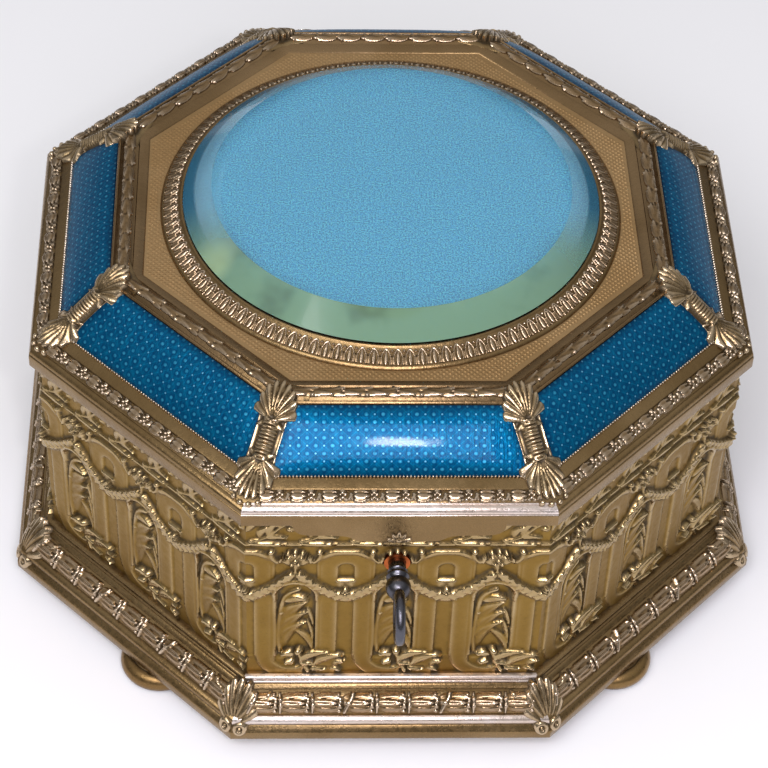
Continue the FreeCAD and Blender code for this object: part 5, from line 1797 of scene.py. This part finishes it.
@dataclass
class Ribs:
    """Eight hip ribs: a gadrooned roll between flat borders, with a fanned leaf at each end."""

    finishes: Finishes
    slope: Slope
    half: float = 7.2
    foot: float = 9.4
    head: float = 9.6
    roll_low: float = 5.2
    roll_high: float = 15.0
    roll_half: float = 2.5
    lobes: int = 10
    border: float = 3.75
    crossing: tuple[Pair, ...] = ((107.4, 93.5), (106.3, 94.5), (104.7, 95.5), (102.7, 96.5),
                                  (100.7, 97.2))
    rising: tuple[Pair, ...] = ((81.0, 112.1), (78.6, 113.0), (76.2, 112.6), (74.7, 111.5),
                                (73.8, 110.2))

    def __post_init__(self) -> None:
        """Lays the path up the hip, from the rim's roll to the inner frame's inner edge."""
        s = self.slope
        low = np.array([s.foot_half / MITRE_COS, s.foot_up])
        high = np.array([(s.foot_half - s.run) / MITRE_COS, s.foot_up + s.rise])
        self.length = float(np.hypot(*(high - low)))
        straight = [tuple(low + (high - low) * k) for k in (0.06, 0.3, 0.5, 0.7, 0.97)]
        self.path = smooth_line([*self.crossing, *straight, *self.rising], 10)
        steps = np.hypot(*np.diff(self.path, axis=0).T)
        run = np.concatenate([[0.0], np.cumsum(steps)])
        self.run = run - run[np.argmin(np.hypot(*(self.path - low).T))]
        way = np.gradient(self.path, self.run, axis=0)
        self.way = way / np.hypot(*way.T)[:, None]

    def build(self) -> None:
        """Makes and places the ribs; rib 1 is at the front's right end."""
        relief = self.field()
        for k in range(1, SIDES + 1):
            piece = relief_piece(f"corner_rib_{k}_leaf", relief, lambda u, v, h,
                                 k=k: self.on_hip(k, u, v, h), -1.9, self.finishes.rib)
            show(piece, Body.LID, Slot.BURNISHED, f"corner_rib_{k}")

    def on_hip(self, corner: int, u: Array, v: Array, h: Array) -> Array:
        """Points over one hip of the lid: u across it, v up it, h off it."""
        spots = (-9.6, -7.0, -4.6, -1.5, 1.0, 17.8, 20.0, 22.0, 24.0, 28.6)
        sides = (0.3, 0.2, 0.07, 0.14, 0.27, 0.27, 0.26, 0.12, 0.0, -0.12)
        lift = h - np.interp(v, spots, sides) * (np.sqrt(u * u + 0.36) - 0.6)
        out, up, dx, dz = (np.interp(v, self.run, column) for column in (*self.path.T, *self.way.T))
        return on_side(corner - 0.5, u, out + dz * lift, up - dx * lift)

    def field(self) -> Relief:
        """The rib's field, from its foot over the rim to its head over the inner frame."""
        r = Relief(2 * self.half, self.length + self.foot + self.head, 0.26, ground=-1.5,
                   low=-self.foot)
        low, high = self.roll_low, self.roll_high
        inside = (r.v > -1.0) & (r.v < self.length + 0.5)
        r.level(np.where(inside, 4.15 - np.abs(r.u), -1.0), 0.25, 0.4)
        q = np.clip(np.abs(r.u) / self.roll_half, 0.0, 1.0)
        lobe = np.abs(np.sin((r.v - low) / (high - low) * math.pi * self.lobes)) ** 0.7
        core = (r.v > low - 0.8) & (r.v < high + 0.8) & (q < 1.0)
        r.over(core, 0.1 + dome(q) * (1.15 + 0.75 * lobe))
        edge = np.abs(np.abs(r.u) - self.border) / 0.42
        r.over((edge < 1.0) & inside, 0.2 + 0.4 * dome(edge))
        r.leaves(both([(1.0, low - 0.4, 3.9, low + 1.6, 1.7, 0.3),
                       (1.0, high + 0.4, 3.9, high - 1.6, 1.7, -0.3)]), 1.2, 0.3, 0.4, 0.2)
        for root, way, reach in ((low + 0.4, -1.0, 12.4), (high, 1.0, 11.2)):
            r.shell(root, way, reach, 6.3, 9, 1.3)
            r.balls([(0.0, root), *both([(1.35, root + way * 0.5)])], 0.8, 0.9, 0.9)
        r.balls(both([(1.2, -7.7), (3.4, -6.6)]), 0.85, 1.0, 0.0)
        return r


# ---------------------------------------------------------------- the glazed top


@dataclass
class GlazedTop:
    """The diapered plate, the leaf bezel, the bevelled glass and the silk below it."""

    finishes: Finishes
    repeats: Repeats
    plate_top: float = 110.05
    plate_bottom: float = 107.85
    plate_half: float = 70.85
    plate_steps: int = 128
    opening: float = 61.95
    cell: float = 1.15
    cells: int = 127
    bezel_outer: float = 64.7
    bezel_inner: float = 58.4
    bezel_height: float = 3.6
    bed_outer: float = 63.65
    bed_inner: float = 59.45
    leaf_count: int = 120
    glass_radius: float = 59.2
    glass_foot: float = 109.6
    girdle: float = 112.9
    bevel_foot: float = 113.95
    bevel_width: float = 8.0
    glass_top: float = 119.05

    def build(self) -> None:
        """Makes and places the top's pieces."""
        show(self.plate(), Body.LID, Slot.GILT, "top_plate")
        show(self.diaper(), Body.LID, Slot.GILT)
        show(self.bezel(), Body.LID, Slot.BURNISHED, "glass_bezel")
        show(self.stiff_leaves(), Body.LID, Slot.BURNISHED)
        show(self.glass(), Body.LID, Slot.GLASS, "glass_disc")
        silk = show(self.silk(), Body.LID, Slot.SILK)

    def plate(self) -> Piece:
        """The plate itself, octagonal outside and round inside."""
        outer = (self.plate_half - 0.1) / octagon_share(self.plate_steps)
        inner = np.full(self.plate_steps, self.opening)
        rings = [(outer, self.plate_bottom), (outer, self.plate_top), (inner, self.plate_top),
                 (inner, self.plate_bottom)]
        return lofted("top_plate_ground", rings, self.finishes.ground, sharp=40.0, closed=True)

    def diaper(self) -> Piece:
        """The small pointed studs of the plate's diaper."""
        half = self.cell * 0.47
        corners = [(-half, -half, -0.1), (half, -half, -0.1), (half, half, -0.1),
                   (-half, half, -0.1), (0.0, 0.0, 0.34)]
        faces = [(0, 1, 4), (1, 2, 4), (2, 3, 4), (3, 0, 4), (3, 2, 1, 0)]
        stud = new_piece("stud", np.array(corners) * MM, faces, self.finishes.ground, sharp=20.0)
        piece = self.repeats.field.mesh("top_plate_diaper", Unit=stud, Cells=self.cells,
                                        Size=(self.cells - 1) * self.cell * MM,
                                        Inner=(self.bezel_outer + 0.6) * MM,
                                        Outer=(self.plate_half - 3.1) * MM, Up=self.plate_top * MM,
                                        Axis=AXIS_Y, Finish=self.finishes.ground)
        piece.data.set_sharp_from_angle(angle=math.radians(20.0))
        bpy.data.objects.remove(stud)
        return piece

    def bezel(self) -> Piece:
        """The bezel's ring: outer bead, sloping bed for the leaves, inner bead and lip."""
        foot, top = self.plate_top, self.plate_top + self.bezel_height
        profile = [(61.9, self.plate_bottom), (61.9, foot), (self.bezel_outer - 0.5, foot)]
        profile += swelled((self.bezel_outer + 0.1, foot + 0.05),
                           (self.bezel_outer - 0.85, foot + 0.98), 0.14, 6)
        profile += [(self.bed_outer + 0.1, foot + 0.95), (self.bed_outer, foot + 0.8),
                    (self.bed_inner, top - 0.4), (self.bed_inner - 0.1, top - 0.25)]
        profile += swelled((59.25, top - 0.2), (58.75, top - 0.02), 0.1, 7)
        profile += [(self.bezel_inner, top - 0.05), (self.bezel_inner, top - 0.68),
                    (self.bezel_inner + 0.9, top - 0.68),
                    (self.bezel_inner + 0.9, self.plate_bottom)]
        return turned_piece("bezel_ring", softened(profile, 0.12), 240, self.finishes.moulding,
                            AXIS, sharp=38.0)

    def stiff_leaves(self) -> Piece:
        """The row of stiff leaves round the bezel, with a dart and a ball between them."""
        pitch = math.tau * 61.7 / self.leaf_count
        r = Relief(pitch, 4.8, 0.22, ground=-0.4, low=-2.4)
        r.strips([[(-0.95, -2.4), (-1.15, -0.6), (-0.95, 0.7), (0.0, 2.1), (0.95, 0.7),
                   (1.15, -0.6), (0.95, -2.4)]], 0.3, 0.5, 0.0)
        r.leaves([(0.0, -2.5, 0.0, 1.7, 1.3, 0.0)], 0.7, 0.0, 0.15, 0.15)
        for x in (-pitch / 2, pitch / 2):
            r.leaves([(x, -2.6, x, 0.8, 0.75, 0.0)], 0.45, 0.0, 0.1, 0.0)
            r.balls([(x, 1.55)], 0.5, 0.6, 0.1)
        unit = unit_piece(r, self.finishes.ornament)
        foot, top = self.plate_top, self.plate_top + self.bezel_height
        rise, run = top - 0.4 - foot - 0.8, self.bed_outer - self.bed_inner
        middle = (self.bed_outer + self.bed_inner) / 2
        return self.repeats.row("bezel_leaf_ring", unit, self.finishes.ornament, 1, 1.0, middle,
                                foot + 1.86, math.atan2(run, rise), turns=self.leaf_count)

    def glass(self) -> Piece:
        """The glass, with its bevel in its own finish."""
        crown = self.bezel_inner - 0.1
        flat = crown - self.bevel_width
        profile = [(0.0, self.glass_foot), (self.glass_radius, self.glass_foot),
                   (self.glass_radius, self.girdle), (crown, self.girdle), (crown, self.bevel_foot),
                   (flat, self.glass_top), (0.0, self.glass_top)]
        piece = turned_piece("bevelled_glass_disc", profile, 192, self.finishes.glass, AXIS,
                             sharp=15.0)
        piece.data.materials.append(self.finishes.bevel)
        for face in piece.data.polygons:
            if self.bevel_foot - 0.01 < face.center.z / MM < self.glass_top - 0.01:
                face.material_index = 1
        return piece

    def silk(self) -> Piece:
        """The stretched silk on its board."""
        radius = self.glass_radius - 0.2
        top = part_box("silk_board")[1].z / MM
        profile = [(0.0, top + 0.01), (radius, top + 0.01), (radius + 0.02, top + 0.06),
                   (radius, top + 0.1)]
        profile += [(radius * k / 12, top + 0.1) for k in range(11, -1, -1)]
        return turned_piece("top_silk", profile, 96, self.finishes.silk, AXIS)


# ---------------------------------------------------------------- inside


@dataclass
class Linings:
    """The silk inside: covered boards round the walls, the lid's board and the floor's pad."""

    finishes: Finishes
    board_out: float = 90.45
    board_back: float = 92.35
    lock_half: float = 20.9
    pillow: float = 0.7
    cushion_steps: int = 96
    puff_frames: int = 20
    pressure: float = 4.0

    def build(self) -> None:
        """Makes and places the linings."""
        walls = show(self.wall_boards(), Body.CASKET, Slot.SILK, "wall_lining")
        lid = show(self.lid_board(), Body.LID, Slot.SILK, "lid_lining")
        pad = show(self.floor_pad(), Body.CASKET, Slot.SILK, "floor_pad")

    def wall_boards(self) -> Piece:
        """Covered boards against the eight walls, in three parts round the lock."""
        low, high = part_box("wall_lining")
        foot, top = low.z / MM + 0.05, high.z / MM
        lock_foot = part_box("lock_case")[0].z / MM - 0.4
        reach = self.board_out * MITRE_TAN - 0.15
        pieces = []
        for side in range(SIDES):
            parts = [(-reach, reach, foot, top)]
            if side == 0:
                parts = [(-reach, -self.lock_half, foot, top), (self.lock_half, reach, foot, top),
                         (-self.lock_half + 0.1, self.lock_half - 0.1, foot, lock_foot)]
            pieces += [self.cushion(side, *part) for part in parts]
        return joined("wall_lining_silk", pieces)

    def cushion(self, side: int, left: float, right: float, foot: float, top: float) -> Piece:
        """One covered board, thinly wadded, facing the middle of the casket."""
        s, t = np.meshgrid(np.linspace(1.0, -1.0, 33), np.linspace(-1.0, 1.0, 33))
        ease = np.sign(s) * (1.0 - (1.0 - np.abs(s)) ** 1.6)
        rise = np.sign(t) * (1.0 - (1.0 - np.abs(t)) ** 1.6)
        along = (left + right) / 2 + ease * (right - left) / 2
        up = (foot + top) / 2 + rise * (top - foot) / 2
        swell = (1.0 - np.abs(ease) ** 6) * (1.0 - np.abs(rise) ** 6)
        out = self.board_out + self.pillow * (1.0 - swell)
        points, faces = block(on_side(side, along, out, up),
                              on_side(side, along, np.full(out.shape, self.board_back), up))
        return new_piece("board", points, faces, self.finishes.lining, sharp=70.0)

    def lid_board(self) -> Piece:
        """The lid's covered board, faintly domed downwards."""
        low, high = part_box("lid_lining")
        return self.octagon_cushion("lid_lining_silk", 89.25, high.z / MM - 0.05,
                                    -(high.z - low.z) / MM + 0.1, 0.9)

    def octagon_cushion(self, name: str, half: float, base: float, rise: float,
                        edge: float) -> Piece:
        """A closed octagonal cushion with a rounded edge.

        Args:
            name: The piece's name.
            half: Its half width in millimetres.
            base: Height of its flat face.
            rise: Height of its crown above that, or below it where negative.
            edge: Share of the rise that stands at its border.

        Returns:
            The piece.
        """
        share = octagon_share(self.cushion_steps)
        rings = []
        for k in np.array([0.0, 0.12, 0.25, 0.4, 0.55, 0.7, 0.82, 0.9, 0.955, 0.985, 1.0]):
            border = k ** 40
            crown = rise * (edge + (1.0 - edge) * (1.0 - k ** 2))
            rings.append((half * k / share, base + (crown * (1.0 - border) + 0.25 * rise * border)))
        rings += [(half * 0.99 / share, base), (0.0 / share, base)]
        return lofted(name, rings, self.finishes.lining, sharp=60.0)

    def floor_pad(self) -> Piece:
        """The floor's thin cushion, puffed by a short cloth run."""
        low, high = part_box("floor_pad")
        piece = self.octagon_cushion("floor_pad_silk", 89.3, low.z / MM + 0.03,
                                     (high.z - low.z) / MM - 1.1, 0.8)
        return self.puffed(piece, 0.3 * MM, 1.0 * MM)

    def puffed(self, piece: Piece, aside: float, rise: float) -> Piece:
        """Swells a cushion by pressure, with its flat face and border held.

        Args:
            piece: The cushion.
            aside: Most that a point may move sideways, in metres.
            rise: Most that a point may rise.

        Returns:
            The same piece, with the swollen form in its mesh.
        """
        mesh = piece.data
        start = np.empty(len(mesh.vertices) * 3)
        mesh.vertices.foreach_get("co", start)
        start = start.reshape(-1, 3)
        low = np.flatnonzero(start[:, 2] < start[:, 2].min() + 0.3 * np.ptp(start[:, 2]))
        piece.vertex_groups.new(name="held").add(low.tolist(), 1.0, "REPLACE")
        cloth = piece.modifiers.new("puff", "CLOTH")
        cloth.settings.quality = 6
        cloth.settings.vertex_group_mass = "held"
        cloth.settings.use_pressure = True
        cloth.settings.uniform_pressure_force = self.pressure
        cloth.settings.effector_weights.gravity = 0.0
        for step in range(self.puff_frames):
            bpy.context.scene.frame_set(step + 1)
        shaped = piece.evaluated_get(bpy.context.evaluated_depsgraph_get())
        end = np.empty(start.size)
        shaped.data.vertices.foreach_get("co", end)
        piece.modifiers.remove(cloth)
        piece.vertex_groups.clear()
        bpy.context.scene.frame_set(1)
        limit = np.array([aside, aside, rise])
        moved = np.clip(end.reshape(-1, 3) - start, -limit, limit)
        moved[:, 2] = np.clip(moved[:, 2], 0.0, None)
        LOG.info("%s: puffed by up to %.2f mm", piece.name, moved[:, 2].max() / MM)
        mesh.vertices.foreach_set("co", (start + moved).ravel())
        mesh.update()
        return piece


# ---------------------------------------------------------------- lock, key and hinge


@dataclass
class LockAndKey:
    """The iron key, and the finishes of the lock, the hinge and the screws."""

    finishes: Finishes
    barrel: float = 2.35
    bore: float = 1.06
    bore_depth: float = 4.6
    ball: float = 3.4
    collar: float = 3.1
    bow: float = 6.1
    wire: float = 1.4
    bow_steps: int = 72
    wire_steps: int = 20
    bit_width: float = 0.0014
    bit_height: float = 0.0038
    bit_drop: float = 0.0041

    def build(self) -> None:
        """Makes and places the key, and gives the plain fittings their finishes."""
        show(self.key(), Body.KEY, Slot.STEEL, "key")
        f = self.finishes
        plain = {"keyhole_bush": f.copper, "lock_bolt": f.steel, "lock_case": f.steel,
                 "lock_cover": f.brass, "lock_screws": f.steel, "hinge_pin": f.steel,
                 "silk_board": f.lining, "foot_screws": f.steel}
        for name, node in frame["nodes"].items():
            if node.hide_render:
                continue
            finish = plain.get(name, f.brass)
            for slot in node.material_slots:
                slot.material = finish
            LOG.info("%s: keeps its form, in %s", name, finish.name)

    def key(self) -> Piece:
        """The key: bored barrel with rings, collar, ball, bit and upright bow."""
        low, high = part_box("key")
        up = (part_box("keyhole_bush")[0].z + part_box("keyhole_bush")[1].z) / 2
        tip = high.y / MM
        bow_y = low.y / MM + self.bow + self.wire
        ball_y = bow_y + self.bow + self.wire - 0.8 + self.ball
        reach = tip - ball_y
        profile = [(0.0, -reach + self.bore_depth), (self.bore, -reach + self.bore_depth),
                   (self.bore, -reach), (self.barrel - 0.2, -reach), (self.barrel, -reach + 0.2),
                   (self.barrel, -5.6), (self.barrel + 0.35, -5.3), (self.barrel, -4.95),
                   (self.barrel - 0.05, -4.2)]
        profile += [(self.collar - 0.35, -4.15), (self.collar, -3.75), (self.collar, -3.3),
                    (self.collar - 0.4, -2.95), (self.collar - 0.5, -2.7)]
        for angle in np.linspace(-46.0, 62.0, 15):
            turn = math.radians(angle)
            profile.append((self.ball * math.cos(turn), self.ball * math.sin(turn)))
        profile += [(1.75, 3.1), (1.9, 3.45), (1.55, 3.9), (0.0, 4.0)]
        shank = turned_piece("shank", profile, 48, self.finishes.key, (0.0, ball_y * MM, up),
                             along_y=True, sharp=45.0)
        bolt_low, bolt_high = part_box("lock_bolt")
        return joined("casket_key", [shank, self.ring(bow_y, up),
                                     self.bit(bolt_low.y + 0.0001, bolt_high.y - 0.0001, up)])

    def ring(self, middle: float, up: float) -> Piece:
        """The bow, a little flattened and thicker towards its foot."""
        around, across = np.meshgrid(np.arange(self.bow_steps) * math.tau / self.bow_steps,
                                     np.arange(self.wire_steps) * math.tau / self.wire_steps,
                                     indexing="ij")
        wire = self.wire * (1.0 - 0.04 * np.sin(around))
        radius = self.bow + wire * np.cos(across)
        points = np.stack([wire * np.sin(across), middle + radius * np.cos(around),
                           up / MM + radius * np.sin(around)], -1) * MM
        return closed_up(new_piece("bow", points, ring_faces(self.bow_steps, self.wire_steps),
                                   self.finishes.key))

    def bit(self, front: float, back: float, up: float) -> Piece:
        """The bit that moves the bolt, with softened edges."""
        mesh = bpy.data.meshes.new("bit")
        work = bmesh.new()
        size = (self.bit_width, back - front, self.bit_height, 1.0)
        place = Matrix.Translation((0.0, (front + back) / 2,
                                    up - self.bit_drop)) @ Matrix.Diagonal(size)
        bmesh.ops.create_cube(work, size=1.0, matrix=place)
        bmesh.ops.bevel(work, geom=work.edges, offset=0.00012, segments=2, affect="EDGES")
        work.to_mesh(mesh)
        work.free()
        return dressed("bit", mesh, self.finishes.key, sharp=40.0)


# ---------------------------------------------------------------- studio


@dataclass
class Studio:
    """The floor, the lights and the camera at the photograph's view."""

    focal: float = 123.95
    azimuth: float = 0.06
    elevation: float = 0.7985
    roll: float = 0.0446
    distance: float = 0.76401
    target: Point = (-0.001063, -0.014036, 0.061)

    def build(self) -> None:
        """Sets up the scene round the casket."""
        self.floor()
        self.world()
        self.lamp("front_panel", (-0.04, -0.62, 0.7), 0.45, 4.3, (1.0, 0.96, 1.12))
        self.lamp("front_light", (0.036, -0.57, 0.64), 0.03, 0.65)
        self.lamp("key_light", (-0.6, -0.75, 1.3), 0.7, 6.0)
        self.camera()
        bpy.context.scene.view_settings.view_transform = "Standard"

    def floor(self) -> None:
        """A wide pale floor."""
        g = Graph("pale_floor")
        g.set(Base_Color=g.mix(g.noise(3.0, 2.0), (0.9, 0.9, 0.9), (0.93, 0.93, 0.93)),
              Roughness=0.9)
        reach = 3.0
        corners = np.array([(-reach, -reach, 0.0), (reach, -reach, 0.0), (reach, reach, 0.0),
                            (-reach, reach, 0.0)])
        new_piece("floor", corners, [(0, 1, 2, 3)], g.material)

    def world(self) -> None:
        """A soft room: pale overhead and darker towards the horizon."""
        world = bpy.data.worlds.new("soft_room")
        bpy.context.scene.world = world
        world.use_nodes = True
        nodes = Nodes(world.node_tree)
        up = nodes.axes(nodes.add("ShaderNodeTexCoord", "Generated"))[2]
        sky = nodes.add("ShaderNodeValToRGB", _0=nodes.plus(nodes.times(up, 0.5), 0.5))
        stops = ((0.0, 0.3), (0.42, 0.34), (0.55, 0.2), (0.75, 0.5), (1.0, 0.85))
        ramp = sky.node.color_ramp.elements
        while len(ramp) < len(stops):
            ramp.new(0.5)
        for element, (spot, level) in zip(ramp, stops):
            element.position = spot
            element.color = (level, level, level * 1.01, 1.0)
        nodes.fill(nodes.tree.nodes["Background"], Color=sky, Strength=0.85)

    def lamp(self, name: str, place: Point, size: float, power: float,
             colour: Colour = (1.0, 1.0, 1.0)) -> None:
        """A square soft light aimed at the casket."""
        data = bpy.data.lights.new(name, "AREA")
        data.size = size
        data.energy = power
        data.color = colour
        lamp = linked(name, data)
        way = np.array(self.target) - np.array(place)
        way /= np.linalg.norm(way)
        right = np.cross(way, (0.0, 0.0, 1.0))
        right /= np.linalg.norm(right)
        up = np.cross(right, way)
        lamp.matrix_world = self.standing(right, up, -way, np.array(place))

    @staticmethod
    def standing(right: Array, up: Array, back: Array, place: Array) -> Matrix:
        """The matrix of something that looks along -back."""
        return Matrix([[right[k], up[k], back[k], place[k]]
                       for k in range(3)] + [[0.0, 0.0, 0.0, 1.0]])

    def camera(self) -> None:
        """The camera, from the fit to the photograph."""
        az, el, roll = self.azimuth, self.elevation, self.roll
        way = np.array([math.sin(az) * math.cos(el), math.cos(az) * math.cos(el), -math.sin(el)])
        right = np.array([math.cos(az), -math.sin(az), 0.0])
        up = np.cross(right, way)
        tilted = math.cos(roll) * right + math.sin(roll) * up
        raised = -math.sin(roll) * right + math.cos(roll) * up
        data = bpy.data.cameras.new("camera")
        data.sensor_width = 36.0
        data.lens = self.focal
        data.clip_start = 0.01
        camera = linked("camera", data)
        camera.matrix_world = self.standing(tilted, raised, -way,
                                            np.array(self.target) - self.distance * way)
        bpy.context.scene.camera = camera


def main() -> None:
    """Builds the casket's looks piece by piece, then the studio round it."""
    logging.basicConfig(level=logging.INFO, format="%(name)s: %(message)s")
    finishes = Finishes()
    repeats = Repeats()
    slope = Slope()
    Walls(finishes).build()
    Plinth(finishes, repeats).build()
    Feet(finishes).build()
    LidFrame(finishes, repeats, slope).build()
    Plaques(finishes, slope).build()
    Ribs(finishes, slope).build()
    GlazedTop(finishes, repeats).build()
    Linings(finishes).build()
    LockAndKey(finishes).build()
    Studio().build()


if __name__ == "__main__":
    main()
